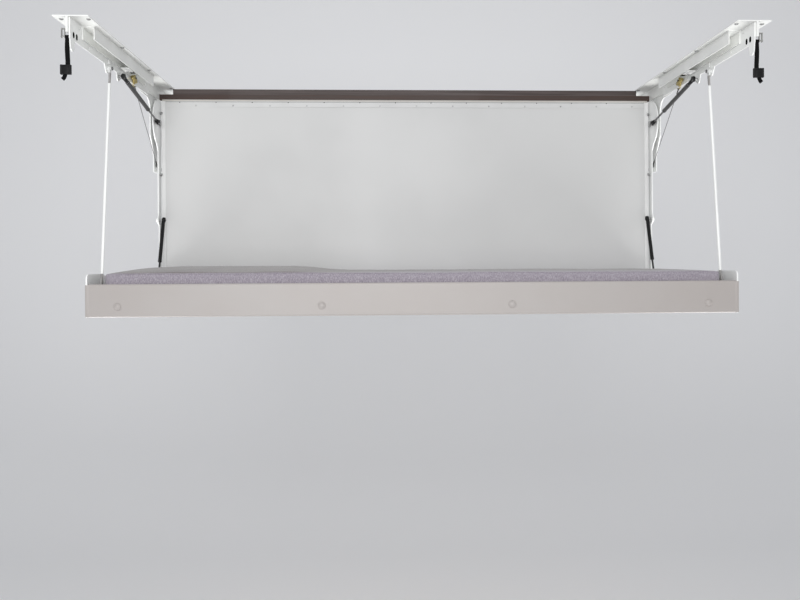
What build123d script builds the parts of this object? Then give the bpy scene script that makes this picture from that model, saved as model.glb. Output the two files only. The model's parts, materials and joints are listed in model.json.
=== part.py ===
from build123d import *
import os

# A bunk bed that folds up under a vehicle's ceiling, lowered. Millimetres, Z up, X across, -Y is the near side.
# The origin is on the ceiling, in the middle of the rails' screw pattern. The right half is built and mirrored.

os.makedirs("parts", exist_ok=True)

# Fits
FACE_GAP = 0.3
PIN_CLEAR = 0.05

# Planes across, each outwards from the one before
SHEET = 3.0
BOARD_HALF = 926.0
CHANNEL_OUT = BOARD_HALF + SHEET
ARM_IN = CHANNEL_OUT + 5.0
ARM_OUT = ARM_IN + 4.0
WEB_IN = ARM_OUT + 5.0
WEB_MID = WEB_IN + SHEET
WEB_OUT = WEB_MID + SHEET
SIDE_IN = ARM_OUT + 8.0
SIDE_OUT = SIDE_IN + 4.0
STAY_X = ARM_IN - 2.0
STAY_EYE_T = 4.0
UPPER_STRUT_X = ARM_IN - 8.0
LOWER_STRUT_X = ARM_IN - 13.0

# Ceiling rails: two angles back to back under each side
RAIL_LENGTH = 970.0
RAIL_END = RAIL_LENGTH / 2
RAIL_TAIL = 110.0
FLANGE_IN = WEB_IN - 54.0
FLANGE_OUT = WEB_OUT + 36.0
WEB_LOW = -45.0
SCREW_X_IN = FLANGE_IN + 8.0
SCREW_X_OUT = FLANGE_OUT - 15.0
SCREW_END = 27.8
SCREW_R = 3.5
BEND_R = 2.5

# Lug plate on the web's inner face
LUG_IN = WEB_IN - SHEET
LUG_NEAR = 9.0 - RAIL_END
LUG_FAR = RAIL_END - 185.0
LUG_LOW = -60.0
LUG_R = 15.0
FINGER_Y = LUG_NEAR + 20.0
FINGER_Z = -76.0

# Curtain track between the lug plate and the inner flange
TRACK_IN = LUG_IN - 34.0
TRACK_LOW = -39.5
TRACK_LIP = 4.0
TRACK_WALL = 2.5
TRACK_NEAR = 103.0 - RAIL_END
TRACK_FAR = RAIL_END - 240.0

# Mechanism, as Y and Z of each pivot
PANEL_PIVOT = (RAIL_END - 55.0, -140.0)
BED_PIVOT = (PANEL_PIVOT[0] - 90.0, PANEL_PIVOT[1] - 672.0)
STAY_TOP = (-163.0, -70.0)
STAY_FOOT = (STAY_TOP[0] + BED_PIVOT[0] - PANEL_PIVOT[0], STAY_TOP[1] + BED_PIVOT[1] - PANEL_PIVOT[1])
UPPER_STUD = (-50.0, -70.0)
UPPER_EYE = (PANEL_PIVOT[0] - 56.0, PANEL_PIVOT[1] - 5.0)
LOWER_STUD = (PANEL_PIVOT[0] - 1.0, PANEL_PIVOT[1] - 363.0)
LOWER_EYE = (BED_PIVOT[0] - 5.0, BED_PIVOT[1] + 46.0)

# Panel
BOARD_FRONT = PANEL_PIVOT[0] + 10.0
BOARD_T = 12.0
BOARD_TOP = PANEL_PIVOT[1] + 85.0
BOARD_LOW = BED_PIVOT[1] + 32.0
CHANNEL_LIP = 1.5
CHANNEL_DEEP = 12.0

# Bed
BED_LOW = BED_PIVOT[1] - 11.0
TUBE_H = 40.0
TUBE_W = 30.0
TUBE_WALL = 2.0
TUBE_OUT = CHANNEL_OUT
DECK_T = 15.0
DECK_HALF = TUBE_OUT - TUBE_W
BED_FAR = BED_PIVOT[0] + 80.0
FASCIA_Y = STAY_FOOT[0] - 83.0
FASCIA_T = 18.0
FASCIA_TOP = BED_LOW + 95.0
SIDE_TOP = BED_LOW + 124.0
MATTRESS_TOP = BED_LOW + 145.5
MATTRESS_HALF = TUBE_OUT - 23.5
BUTTON_R = 9.75
BUTTON_X = (BOARD_HALF * 0.3, BOARD_HALF - 65.0)
BUTTON_Z = BED_LOW + 30.0


def block(x0, x1, y0, y1, z0, z1):
    """A box between its six faces."""
    return Pos((x0 + x1) / 2, (y0 + y1) / 2, (z0 + z1) / 2) * Box(x1 - x0, y1 - y0, z1 - z0)


def rod_x(x0, x1, at, radius):
    """A round bar along X from x0 to x1 at a place (y, z)."""
    return Pos((x0 + x1) / 2, at[0], at[1]) * Rot(0, 90, 0) * Cylinder(radius, x1 - x0)


def rounds(*circles):
    """The flat outline that wraps circles given as (y, z, radius)."""
    drawn = [Pos(y, z) * Circle(r) for y, z, r in circles]
    edges = [edge for circle in drawn for edge in circle.edges()]
    return make_hull(edges)


def sheet_x(outline, x0, x1):
    """A flat outline in Y and Z made a plate from x0 to x1."""
    return extrude(Plane.YZ.offset(x0) * outline, x1 - x0)


def strut_bar(x, start, end, near, far, radius):
    """A round bar on the line between two pivots, from near to far millimetres beyond the first."""
    run = (end[0] - start[0], end[1] - start[1])
    length = (run[0] ** 2 + run[1] ** 2) ** 0.5
    unit = (run[0] / length, run[1] / length)
    foot = Vector(x, start[0] + unit[0] * near, start[1] + unit[1] * near)
    plane = Plane(origin=foot, x_dir=(1, 0, 0), z_dir=(0, unit[0], unit[1]))
    return extrude(plane * Circle(radius), far - near)


def solids_of(*shapes):
    """One node of several solids that don't touch."""
    return Compound(children=[s for shape in shapes for s in shape.solids()])


def save(name, shape):
    export_step(shape, f"parts/{name}.step")


def save_sides(name, right):
    """The right piece and its mirror image as two nodes."""
    save(name + "_right", right)
    save(name + "_left", mirror(right, about=Plane.YZ))


def save_both(name, right):
    """The right piece and its mirror image as one node."""
    save(name, solids_of(right, mirror(right, about=Plane.YZ)))


# Rails
# They run on past the header by their tail
rail_y = (-RAIL_END, RAIL_END + RAIL_TAIL)
screw_pitch = (RAIL_LENGTH - 2 * SCREW_END) / 3
screw_ys = [screw_pitch * step for step in (-1.5, -0.5, 0.5, 1.5)]


def flange_holes(x):
    return [Pos(x, y, -SHEET / 2) * Cylinder(SCREW_R, SHEET * 2) for y in screw_ys]


rail_inner = block(FLANGE_IN, WEB_MID, *rail_y, -SHEET, 0) + block(WEB_IN, WEB_MID, *rail_y, WEB_LOW, 0)
rail_inner = fillet(rail_inner.edges().filter_by(Axis.Y).group_by(Axis.Z)[-1].sort_by(Axis.X)[-1], BEND_R)
rail_inner -= flange_holes(SCREW_X_IN)
rail_outer = block(WEB_MID, FLANGE_OUT, *rail_y, -SHEET, 0) + block(WEB_MID, WEB_OUT, *rail_y, WEB_LOW, 0)
rail_outer = fillet(rail_outer.edges().filter_by(Axis.Y).group_by(Axis.Z)[-1].sort_by(Axis.X)[0], BEND_R)
rail_outer -= flange_holes(SCREW_X_OUT)
save_sides("rail_outer", rail_outer)

# Each lug: its pivot, then how far its foot spreads to the near and the far side
LUG_SPREADS = (
    (STAY_TOP, 30.0, 34.0),
    (UPPER_STUD, 22.0, 46.0),
)
lug_face = Pos((LUG_NEAR + LUG_FAR) / 2, (LUG_LOW - SHEET) / 2) * Rectangle(LUG_FAR - LUG_NEAR, -SHEET - LUG_LOW)
for at, near_side, far_side in LUG_SPREADS:
    lug_face += rounds((*at, LUG_R), (at[0] - near_side + 8, LUG_LOW + 8, 8.0), (at[0] + far_side - 8, LUG_LOW + 8, 8.0))
lug_face += rounds((FINGER_Y, FINGER_Z, LUG_R + 1), (FINGER_Y, LUG_LOW + 20, LUG_R + 5))
lug_plate = sheet_x(lug_face, LUG_IN, WEB_IN)
OVAL_YS = (LUG_NEAR + 26.0, LUG_NEAR + 50.0)
for y in OVAL_YS:
    oval = Pos(y, WEB_LOW) * Rot(0, 0, 90) * SlotOverall(16.0, 8.0)
    lug_plate -= sheet_x(oval, LUG_IN - 1, WEB_IN + 1)
    rail_inner -= sheet_x(oval, WEB_IN - 1, WEB_MID)
save_sides("rail_inner", rail_inner)
# Small holes, as distance from the plate's near end and height
for from_near, z in ((71.0, -18.0), (157.0, -49.0)):
    lug_plate -= rod_x(LUG_IN - 1, WEB_IN + 1, (LUG_NEAR + from_near, z), 3.0)
CABLE_PIN = (LUG_FAR - 188.0, WEB_LOW - 6.0)
CABLE_PIN_R = 3.5
lug_plate -= rod_x(LUG_IN - 1, WEB_IN + 1, CABLE_PIN, CABLE_PIN_R + PIN_CLEAR)
save_sides("lug_plate", lug_plate)

track = block(TRACK_IN, LUG_IN, TRACK_NEAR, TRACK_FAR, TRACK_LOW, -SHEET)
track -= block(TRACK_IN + TRACK_WALL, LUG_IN - TRACK_WALL, TRACK_NEAR - 1, TRACK_FAR + 1, TRACK_LOW + TRACK_WALL, -SHEET - TRACK_WALL)
track -= block(TRACK_IN + TRACK_WALL, LUG_IN - TRACK_LIP, TRACK_NEAR - 1, TRACK_FAR + 1, TRACK_LOW - 1, TRACK_LOW + TRACK_WALL + 1)
save_sides("track", track)

# Legs hang from the rails' far ends and carry the panel
LEG_FAR = RAIL_END - 3.0
LEG_NEAR = LEG_FAR - 247.0
LEG_FRONT = LEG_FAR - 120.0
LEG_WAIST = LEG_FAR - 74.0
LEG_LOW = PANEL_PIVOT[1] - 185.0
LEG_CURVE = 52.0
LEG_KNEE = PANEL_PIVOT[1] - 55.0
LEG_HEEL = PANEL_PIVOT[1] - 122.0
leg_lines = [
    Line((LEG_NEAR, -SHEET), (LEG_NEAR, LUG_LOW)),
    Line((LEG_NEAR, LUG_LOW), (LEG_FRONT - LEG_CURVE, LUG_LOW)),
    RadiusArc((LEG_FRONT - LEG_CURVE, LUG_LOW), (LEG_FRONT, LUG_LOW - LEG_CURVE), LEG_CURVE),
    Line((LEG_FRONT, LUG_LOW - LEG_CURVE), (LEG_FRONT, LEG_KNEE)),
    Line((LEG_FRONT, LEG_KNEE), (LEG_WAIST, LEG_HEEL)),
    Line((LEG_WAIST, LEG_HEEL), (LEG_WAIST, LEG_LOW)),
    Line((LEG_WAIST, LEG_LOW), (LEG_FAR, LEG_LOW)),
    Line((LEG_FAR, LEG_LOW), (LEG_FAR, -SHEET)),
    Line((LEG_FAR, -SHEET), (LEG_NEAR, -SHEET)),
]
LEG_IN = WEB_OUT
LEG_OUT = LEG_IN + 4.0
leg = sheet_x(make_face(Wire(leg_lines)), LEG_IN, LEG_OUT)
save_sides("leg", leg)

PIVOT_R = 8.0
panel_pivot = rod_x(ARM_IN - 1, LEG_IN, PANEL_PIVOT, PIVOT_R)
panel_pivot += rod_x(ARM_IN - 5, ARM_IN - FACE_GAP, PANEL_PIVOT, PIVOT_R + 4)
panel_pivot += rod_x(ARM_OUT + FACE_GAP, LEG_IN, PANEL_PIVOT, PIVOT_R + 4)
save_both("panel_pivots", panel_pivot)

STOP_R = 6.0
STOP_Z = LEG_LOW + 13.0
ARM_FAR = BOARD_FRONT + BOARD_T
stop = rod_x(ARM_IN, LEG_IN, (ARM_FAR + FACE_GAP + STOP_R, STOP_Z), STOP_R)
save_both("stop_bolts", stop)

STAY_PIN_R = 4.0
stay_in = STAY_X - STAY_EYE_T / 2
stay_out = STAY_X + STAY_EYE_T / 2


def stay_pin(at, wall):
    """A shouldered pin that holds a stay's eye, standing on a wall at X."""
    pin = rod_x(stay_in - 1, wall, at, STAY_PIN_R)
    pin += rod_x(stay_out + FACE_GAP, wall, at, STAY_PIN_R + 3)
    return pin + rod_x(stay_in - 3.5, stay_in - FACE_GAP, at, STAY_PIN_R + 3)


save_both("stay_pins_upper", stay_pin(STAY_TOP, LUG_IN))
save_both("stay_pins_lower", stay_pin(STAY_FOOT, SIDE_IN))

STUD_R = 3.5
STUD_HEAD_R = 5.0
STUD_HEAD_HALF = 3.0


def strut_stud(x, wall, at):
    """A stud on a wall, with the head that a strut's socket turns on."""
    return rod_x(x, wall, at, STUD_R) + rod_x(x - STUD_HEAD_HALF, x + STUD_HEAD_HALF, at, STUD_HEAD_R)


save_both("upper_strut_studs", strut_stud(UPPER_STRUT_X, LUG_IN, UPPER_STUD))

HEADER_T = 18.0
HEADER_NEAR = RAIL_END - HEADER_T
HEADER_LOW = -45.0
HEADER_STEP = 5.0
HEADER_STEP_Z = -24.0
header = block(-WEB_IN, WEB_IN, HEADER_NEAR, RAIL_END, HEADER_LOW, HEADER_STEP_Z)
header_half = FLANGE_IN + 4
header += block(-header_half, header_half, HEADER_NEAR + HEADER_STEP, RAIL_END, HEADER_STEP_Z, -SHEET)
save("header", header)

# Cables from a fitting on each lug plate to the leg's foot
CABLE_X = WEB_IN + 2.0
CABLE_R = 1.2
FERRULE_R = 6.0
CABLE_TOP = (CABLE_PIN[0] + 33.0, CABLE_PIN[1] - 11.0)
CABLE_FOOT = (LEG_FAR - 46.0, LEG_LOW + 25.0)
BARREL_R = 11.0
LINK_R = 4.0
barrel = Plane.YZ.offset(LUG_IN - 5) * Pos(*CABLE_PIN) * RegularPolygon(BARREL_R, 6)
fitting = extrude(barrel, 5.0)
fitting += rod_x(LUG_IN - 1, CABLE_X + 2, CABLE_PIN, CABLE_PIN_R)
fitting += sheet_x(rounds((*CABLE_PIN, LINK_R + 1), (*CABLE_TOP, LINK_R)), CABLE_X - 1.5, CABLE_X + 1.5)
save_both("cable_fittings", fitting)
cable_run = (CABLE_FOOT[0] - CABLE_TOP[0], CABLE_FOOT[1] - CABLE_TOP[1])
cable_length = (cable_run[0] ** 2 + cable_run[1] ** 2) ** 0.5
cable = strut_bar(CABLE_X, CABLE_TOP, CABLE_FOOT, LINK_R + 0.1, cable_length - 2.0, CABLE_R)
cable += rod_x(CABLE_X - CABLE_R - 0.5, LEG_IN, CABLE_FOOT, FERRULE_R)
save_both("cables", cable)

# Straps at the near ends hold the folded bed
STRAP_X = WEB_OUT + 8.0
STRAP_Y = 17.0 - RAIL_END
STRAP_HALF = 5.7
PRONG_T = 2.0
STRAP_LOW = -118.0
BUCKLE_HALF = 15.0
BUCKLE_TALL = 37.0
clevis_in = WEB_OUT
clevis_out = 2 * STRAP_X - clevis_in
clevis = block(clevis_in, clevis_out, STRAP_Y - 6, STRAP_Y + 6, -34, -31)
for x in (clevis_in, clevis_out - PRONG_T):
    clevis += block(x, x + PRONG_T, STRAP_Y - 6, STRAP_Y + 6, -60, -31)
clevis += rod_x(clevis_in, clevis_out, (STRAP_Y, -54.0), 2.5)
save_both("strap_clevises", clevis)
strap = block(STRAP_X - STRAP_HALF, STRAP_X + STRAP_HALF, STRAP_Y - 1, STRAP_Y + 1, STRAP_LOW, -56.7)
save_both("straps", strap)
buckle = block(STRAP_X - BUCKLE_HALF, STRAP_X + BUCKLE_HALF, STRAP_Y - 5, STRAP_Y + 5, STRAP_LOW - BUCKLE_TALL, STRAP_LOW)
buckle = fillet(buckle.edges().filter_by(Axis.Y), 4.0)
save_both("buckles", buckle)

# Panel
# A disc about its pivot, cut off behind the board, then a narrow strip to the strut's lobe and on to the bed
HEAD_R = 88.0
HEAD_FAR = BOARD_FRONT + 26.0
ARM_WIDE = 38.0
arm_mid = ARM_FAR - ARM_WIDE / 2
head = Pos(*PANEL_PIVOT) * Circle(HEAD_R)
head -= Pos(HEAD_FAR + HEAD_R, PANEL_PIVOT[1]) * Rectangle(HEAD_R * 2, HEAD_R * 3)
arm_face = head + rounds((arm_mid, PANEL_PIVOT[1] - 65, ARM_WIDE / 2), (arm_mid, LOWER_STUD[1], ARM_WIDE / 2))
arm_face += rounds((UPPER_EYE[0] + 4, UPPER_EYE[1] - 20, 22.0), (arm_mid, PANEL_PIVOT[1] - 100, ARM_WIDE / 2), (*PANEL_PIVOT, HEAD_FAR - PANEL_PIVOT[0]))
arm_face += Pos(*LOWER_STUD) * Circle(22.0)
KNEE = (ARM_FAR - 13.0, BED_PIVOT[1] + 106.0, 13.0)
arm_face += rounds((ARM_FAR - 13.0, LOWER_STUD[1], 13.0), KNEE)
arm_face += rounds(KNEE, (*BED_PIVOT, 17.0))
arm = sheet_x(arm_face, ARM_IN, ARM_OUT)
arm -= rod_x(ARM_IN - 1, ARM_OUT + 1, PANEL_PIVOT, PIVOT_R + PIN_CLEAR)
arm -= rod_x(ARM_IN - 1, ARM_OUT + 1, BED_PIVOT, PIVOT_R + PIN_CLEAR)
save_sides("arm", arm)

save("board", block(-BOARD_HALF, BOARD_HALF, BOARD_FRONT, BOARD_FRONT + BOARD_T, BOARD_LOW, BOARD_TOP))
channel = block(BOARD_HALF - CHANNEL_DEEP, CHANNEL_OUT, BOARD_FRONT - CHANNEL_LIP, BOARD_FRONT + BOARD_T + CHANNEL_LIP, BOARD_LOW, BOARD_TOP)
channel -= block(BOARD_HALF - CHANNEL_DEEP - 1, BOARD_HALF, BOARD_FRONT, BOARD_FRONT + BOARD_T, BOARD_LOW - 1, BOARD_TOP + 1)
save_sides("edge_channel", channel)
strip = block(-BOARD_HALF + CHANNEL_DEEP + 1, BOARD_HALF - CHANNEL_DEEP - 1, BOARD_FRONT - 2, BOARD_FRONT, BOARD_TOP - 22, BOARD_TOP)
save("top_strip", strip)

BOLT_ZS = [PANEL_PIVOT[1] + step for step in (39.0, -193.0, -420.0)]
bolts = [rod_x(CHANNEL_OUT, ARM_IN, (BOARD_FRONT + BOARD_T / 2, z), 5.0) for z in BOLT_ZS]
save_both("arm_spacers", solids_of(*bolts))

save_both("lower_strut_studs", strut_stud(LOWER_STRUT_X, ARM_IN, LOWER_STUD))

# Bed
tube_top = BED_LOW + TUBE_H
bed_near = FASCIA_Y + FASCIA_T


def tube_y(x0, x1, y0, y1):
    """A rectangular tube along Y in the bed's frame."""
    inside = block(x0 + TUBE_WALL, x1 - TUBE_WALL, y0 - 1, y1 + 1, BED_LOW + TUBE_WALL, tube_top - TUBE_WALL)
    return block(x0, x1, y0, y1, BED_LOW, tube_top) - inside


def tube_x(x0, x1, y0, y1):
    """A rectangular tube along X in the bed's frame."""
    inside = block(x0 - 1, x1 + 1, y0 + TUBE_WALL, y1 - TUBE_WALL, BED_LOW + TUBE_WALL, tube_top - TUBE_WALL)
    return block(x0, x1, y0, y1, BED_LOW, tube_top) - inside


rail_in = TUBE_OUT - TUBE_W
save_sides("frame_side", tube_y(rail_in, TUBE_OUT, bed_near, BED_FAR))
save("frame_near", tube_x(-rail_in, rail_in, bed_near, bed_near + TUBE_W))
save("frame_far", tube_x(-rail_in, rail_in, BED_FAR - TUBE_W, BED_FAR))
CROSS_X = (-DECK_HALF / 2, 0.0, DECK_HALF / 2)
cross = [tube_y(x - TUBE_W / 2, x + TUBE_W / 2, bed_near + TUBE_W, BED_FAR - TUBE_W) for x in CROSS_X]
save("frame_cross", solids_of(*cross))
deck_top = tube_top + DECK_T
save("deck", block(-DECK_HALF, DECK_HALF, bed_near, BED_FAR, tube_top, deck_top))

FASCIA_ROUND = 5.0
fascia = block(-SIDE_IN, SIDE_IN, FASCIA_Y, bed_near, BED_LOW, FASCIA_TOP)
fascia = fillet(fascia.edges().filter_by(Axis.X).group_by(Axis.Y)[0], FASCIA_ROUND)
save("fascia", fascia)
BUTTON_T = 4.0
button = Rot(90, 0, 0) * Cylinder(BUTTON_R, BUTTON_T)
button = fillet(button.edges().group_by(Axis.Y)[0], 1.6)
button_places = [Pos(x, FASCIA_Y - BUTTON_T / 2, BUTTON_Z) for x in (-BUTTON_X[1], -BUTTON_X[0], *BUTTON_X)]
save("fascia_buttons", solids_of(*[place * button for place in button_places]))

# The side plates stand high at the stays and run low towards the far end
SIDE_HIGH_FAR = STAY_FOOT[0] + 60
SIDE_LOW_NEAR = STAY_FOOT[0] + 293
SIDE_LOW_TOP = BED_LOW + 38
SIDE_FAR = BED_PIVOT[0] + 60
side_lines = Polyline(
    (FASCIA_Y, BED_LOW),
    (SIDE_FAR, BED_LOW),
    (SIDE_FAR, SIDE_LOW_TOP),
    (SIDE_LOW_NEAR, SIDE_LOW_TOP),
    (SIDE_HIGH_FAR, SIDE_TOP),
    (FASCIA_Y, SIDE_TOP),
    close=True,
)
side = sheet_x(make_face(side_lines), SIDE_IN, SIDE_OUT)
side_corners = side.edges().filter_by(Axis.X).group_by(Axis.Z)[-1]
side = fillet(side_corners, 14.0)
save_sides("side_plate", side)
side_ties = [block(TUBE_OUT, SIDE_IN, y - 20, y + 20, BED_LOW, BED_LOW + 30) for y in (bed_near + 28, 0.0, SIDE_FAR - 100)]
save_both("side_ties", solids_of(*side_ties))

bed_pivot = rod_x(TUBE_OUT, SIDE_IN, BED_PIVOT, PIVOT_R)
bed_pivot += rod_x(TUBE_OUT, ARM_IN - FACE_GAP, BED_PIVOT, PIVOT_R + 4)
bed_pivot += rod_x(ARM_OUT + FACE_GAP, SIDE_IN, BED_PIVOT, PIVOT_R + 4)
save_both("bed_pivots", bed_pivot)

BRACKET_HALF = 14.0
bracket = block(LOWER_STRUT_X - 14, LOWER_STRUT_X - 11, LOWER_EYE[0] - BRACKET_HALF, LOWER_EYE[0] + BRACKET_HALF, tube_top, LOWER_EYE[1] + 9)
bracket += block(rail_in + 1, LOWER_STRUT_X - 11, LOWER_EYE[0] - BRACKET_HALF, LOWER_EYE[0] + BRACKET_HALF, tube_top, tube_top + 3)
save_both("lower_strut_brackets", bracket)

MATTRESS_SKIN = 0.2
MATTRESS_CROWN = 13.0
MATTRESS_ROUND = 7.0
mattress_low = deck_top + MATTRESS_SKIN
mattress_near = bed_near + 1
mattress_far = BED_FAR + 8
mattress_edge = MATTRESS_TOP - MATTRESS_CROWN
# Its profile in Y and Z has an arched top
mattress_face = make_face(
    [
        Polyline(
            (mattress_near, mattress_edge),
            (mattress_near, mattress_low),
            (mattress_far, mattress_low),
            (mattress_far, mattress_edge),
        ),
        ThreePointArc(
            (mattress_far, mattress_edge),
            ((mattress_near + mattress_far) / 2, MATTRESS_TOP),
            (mattress_near, mattress_edge),
        ),
    ]
)
mattress = sheet_x(mattress_face, -MATTRESS_HALF, MATTRESS_HALF)
mattress = fillet(mattress.edges(), MATTRESS_ROUND)
save("mattress", mattress)

# Stays
EYE_R = 9.0
ROD_R = 3.0
SLEEVE_R = 4.5
stay_length = ((STAY_FOOT[0] - STAY_TOP[0]) ** 2 + (STAY_FOOT[1] - STAY_TOP[1]) ** 2) ** 0.5
FLAT_END = 40.0
stay_eye_top = rounds((*STAY_TOP, EYE_R), (STAY_TOP[0] - 3.0, STAY_TOP[1] - FLAT_END, 4.0))
stay_eye_foot = rounds((*STAY_FOOT, EYE_R), (STAY_FOOT[0] + 2.2, STAY_FOOT[1] + 30, 4.0))
stay = sheet_x(stay_eye_top, stay_in, stay_out) + sheet_x(stay_eye_foot, stay_in, stay_out)
stay += strut_bar(STAY_X, STAY_TOP, STAY_FOOT, 20.0, stay_length - 16.0, ROD_R)
stay -= rod_x(stay_in - 1, stay_out + 1, STAY_TOP, STAY_PIN_R + PIN_CLEAR)
stay -= rod_x(stay_in - 1, stay_out + 1, STAY_FOOT, STAY_PIN_R + PIN_CLEAR)
save_sides("stay", stay)
sleeve_span = (FLAT_END + 8.0, stay_length - 44.0)
sleeve = strut_bar(STAY_X, STAY_TOP, STAY_FOOT, *sleeve_span, SLEEVE_R)
sleeve -= strut_bar(STAY_X, STAY_TOP, STAY_FOOT, sleeve_span[0] - 1, sleeve_span[1] + 1, ROD_R)
save_sides("stay_sleeve", sleeve)

# Gas struts
STRUT_ROD_R = 3.5
SOCKET_R = 8.5
NECK_R = 5.0
EYE_NECK = 22.0


def strut(x, start, end, tube_near, tube_share, tube_r, rod_inside, stud_wall):
    """The tube and the rod of a strut from a stud at start to an eye at end.

    The tube ends at a share of the length, and that much of the rod is inside it.
    The rod carries its own stud, which ends just short of the wall it would be bolted to.
    """
    length = ((end[0] - start[0]) ** 2 + (end[1] - start[1]) ** 2) ** 0.5
    tube_far = length * tube_share
    rod_near = tube_far - rod_inside
    tube = strut_bar(x, start, end, tube_near, tube_far, tube_r)
    tube += strut_bar(x, start, end, 0.0, tube_near, NECK_R)
    tube += rod_x(x - SOCKET_R + 2, x + STUD_HEAD_HALF, start, SOCKET_R)
    tube -= rod_x(x - STUD_HEAD_HALF - FACE_GAP, x + SOCKET_R, start, STUD_HEAD_R + PIN_CLEAR)
    tube -= strut_bar(x, start, end, rod_near - 2.0, tube_far + 1.0, STRUT_ROD_R + PIN_CLEAR)
    rod = strut_bar(x, start, end, rod_near, length - EYE_NECK / 2, STRUT_ROD_R)
    rod += strut_bar(x, start, end, length - EYE_NECK, length, NECK_R)
    rod += rod_x(x - SOCKET_R + 2, x + STUD_HEAD_HALF, end, SOCKET_R)
    rod += rod_x(min(x, stud_wall), max(x, stud_wall), end, STUD_R)
    return tube, rod


upper_tube, upper_rod = strut(UPPER_STRUT_X, UPPER_STUD, UPPER_EYE, 50.0, 0.69, 7.0, 46.0, ARM_IN - 0.5)
lower_tube, lower_rod = strut(LOWER_STRUT_X, LOWER_STUD, LOWER_EYE, 14.0, 0.60, 6.5, 97.0, LOWER_STRUT_X - 10.5)
save_sides("upper_strut_tube", upper_tube)
save_sides("upper_strut_rod", upper_rod)
save_sides("lower_strut_tube", lower_tube)
save_sides("lower_strut_rod", lower_rod)
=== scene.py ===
"""Looks of a fold-down overhead bunk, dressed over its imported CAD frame.

Metres, Z up, X across, -Y is the near side. The origin is on the ceiling, in the
middle of the rails' screws.
"""

import json
import logging
import math
from collections.abc import Iterable, Sequence
from dataclasses import dataclass, field
from enum import Enum
from typing import ClassVar

import bmesh
import bpy
from mathutils import Matrix, Vector, noise
from mathutils.bvhtree import BVHTree

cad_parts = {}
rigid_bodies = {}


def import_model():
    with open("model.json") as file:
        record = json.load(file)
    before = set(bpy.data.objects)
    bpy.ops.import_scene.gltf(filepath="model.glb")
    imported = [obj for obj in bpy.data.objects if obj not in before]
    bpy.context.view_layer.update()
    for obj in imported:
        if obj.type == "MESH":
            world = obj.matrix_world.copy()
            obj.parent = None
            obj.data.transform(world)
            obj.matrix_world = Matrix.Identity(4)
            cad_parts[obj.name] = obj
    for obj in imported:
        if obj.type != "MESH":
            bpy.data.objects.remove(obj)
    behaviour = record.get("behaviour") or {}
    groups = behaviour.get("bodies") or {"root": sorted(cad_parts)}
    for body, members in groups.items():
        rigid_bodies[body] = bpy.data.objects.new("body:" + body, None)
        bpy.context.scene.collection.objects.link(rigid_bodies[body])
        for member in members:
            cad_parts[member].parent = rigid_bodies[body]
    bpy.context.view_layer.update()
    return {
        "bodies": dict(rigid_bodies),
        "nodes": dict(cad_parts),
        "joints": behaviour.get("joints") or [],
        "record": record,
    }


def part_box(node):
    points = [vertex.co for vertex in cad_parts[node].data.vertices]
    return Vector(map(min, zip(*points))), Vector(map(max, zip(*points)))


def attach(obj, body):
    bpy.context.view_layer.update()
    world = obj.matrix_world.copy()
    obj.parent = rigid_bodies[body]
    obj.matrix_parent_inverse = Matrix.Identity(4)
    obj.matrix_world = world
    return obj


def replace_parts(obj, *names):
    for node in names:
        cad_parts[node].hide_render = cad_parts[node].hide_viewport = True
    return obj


log = logging.getLogger("scene")

SIDES = (("right", 1.0), ("left", -1.0))

# Places shared with the CAD, as Y and Z of each pivot
STAY_TOP = (-0.163, -0.070)
STAY_FOOT = (-0.253, -0.742)
UPPER_STUD = (-0.050, -0.070)
UPPER_EYE = (0.374, -0.145)
LOWER_STUD = (0.429, -0.503)
LOWER_EYE = (0.335, -0.766)
SCREW_YS = tuple(0.3048 * step for step in (-1.5, -0.5, 0.5, 1.5))

Colour = tuple[float, float, float, float]
Pair = tuple[float, float]
Point = Sequence[float]

OUTWARD, INWARD = (1, 0, 0), (-1, 0, 0)
FAR, NEAR = (0, 1, 0), (0, -1, 0)
UP, DOWN = (0, 0, 1), (0, 0, -1)
EVEN = (1.0, 1.0, 1.0)


def tone(red: float, green: float, blue: float) -> Colour:
    """Turns a display colour of 0 to 255 into a linear one.

    Args:
        red, green, blue: The display values.

    Returns:
        The linear colour with full alpha.
    """
    linear = [((c / 255 + 0.055) / 1.055) ** 2.4 for c in (red, green, blue)]
    return (linear[0], linear[1], linear[2], 1.0)


def dimmed(colour: Colour, share: float) -> Colour:
    """Returns a colour with only a share of its light."""
    return (*(part * share for part in colour[:3]), 1.0)


def placed(name: str, data: bpy.types.ID) -> bpy.types.Object:
    """Makes an object of a mesh, a lamp or a camera and puts it in the scene.

    Args:
        name: The object's name.
        data: What it shows.

    Returns:
        The object.
    """
    made = bpy.data.objects.new(name, data)
    bpy.context.scene.collection.objects.link(made)
    return made


def ramp(value: float, start: float, end: float) -> float:
    """Returns how far a value is from start to end, from 0 to 1."""
    return min(max((value - start) / (end - start), 0.0), 1.0)


def between(xs: Pair, ys: Pair, zs: Pair) -> tuple[Point, Point]:
    """Returns a box's low and high corner from its two ends on each axis."""
    low, high = zip(xs, ys, zs)
    return low, high


class Shade:
    """One shader value that joins others with Python's operators."""

    def __init__(self, graph: "Graph", socket: bpy.types.NodeSocket) -> None:
        """Wraps an output socket of a graph."""
        self.graph = graph
        self.socket = socket

    def __add__(self, other: "Shade | float") -> "Shade":
        """Adds another value."""
        return self.graph.math("ADD", self, other)

    def __radd__(self, other: float) -> "Shade":
        """Adds itself to a number."""
        return self.graph.math("ADD", other, self)

    def __sub__(self, other: "Shade | float") -> "Shade":
        """Takes another value off."""
        return self.graph.math("SUBTRACT", self, other)

    def __rsub__(self, other: float) -> "Shade":
        """Takes itself off a number."""
        return self.graph.math("SUBTRACT", other, self)

    def __mul__(self, other: "Shade | float") -> "Shade":
        """Multiplies by another value."""
        return self.graph.math("MULTIPLY", self, other)

    def __rmul__(self, other: float) -> "Shade":
        """Multiplies a number by itself."""
        return self.graph.math("MULTIPLY", other, self)


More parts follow.
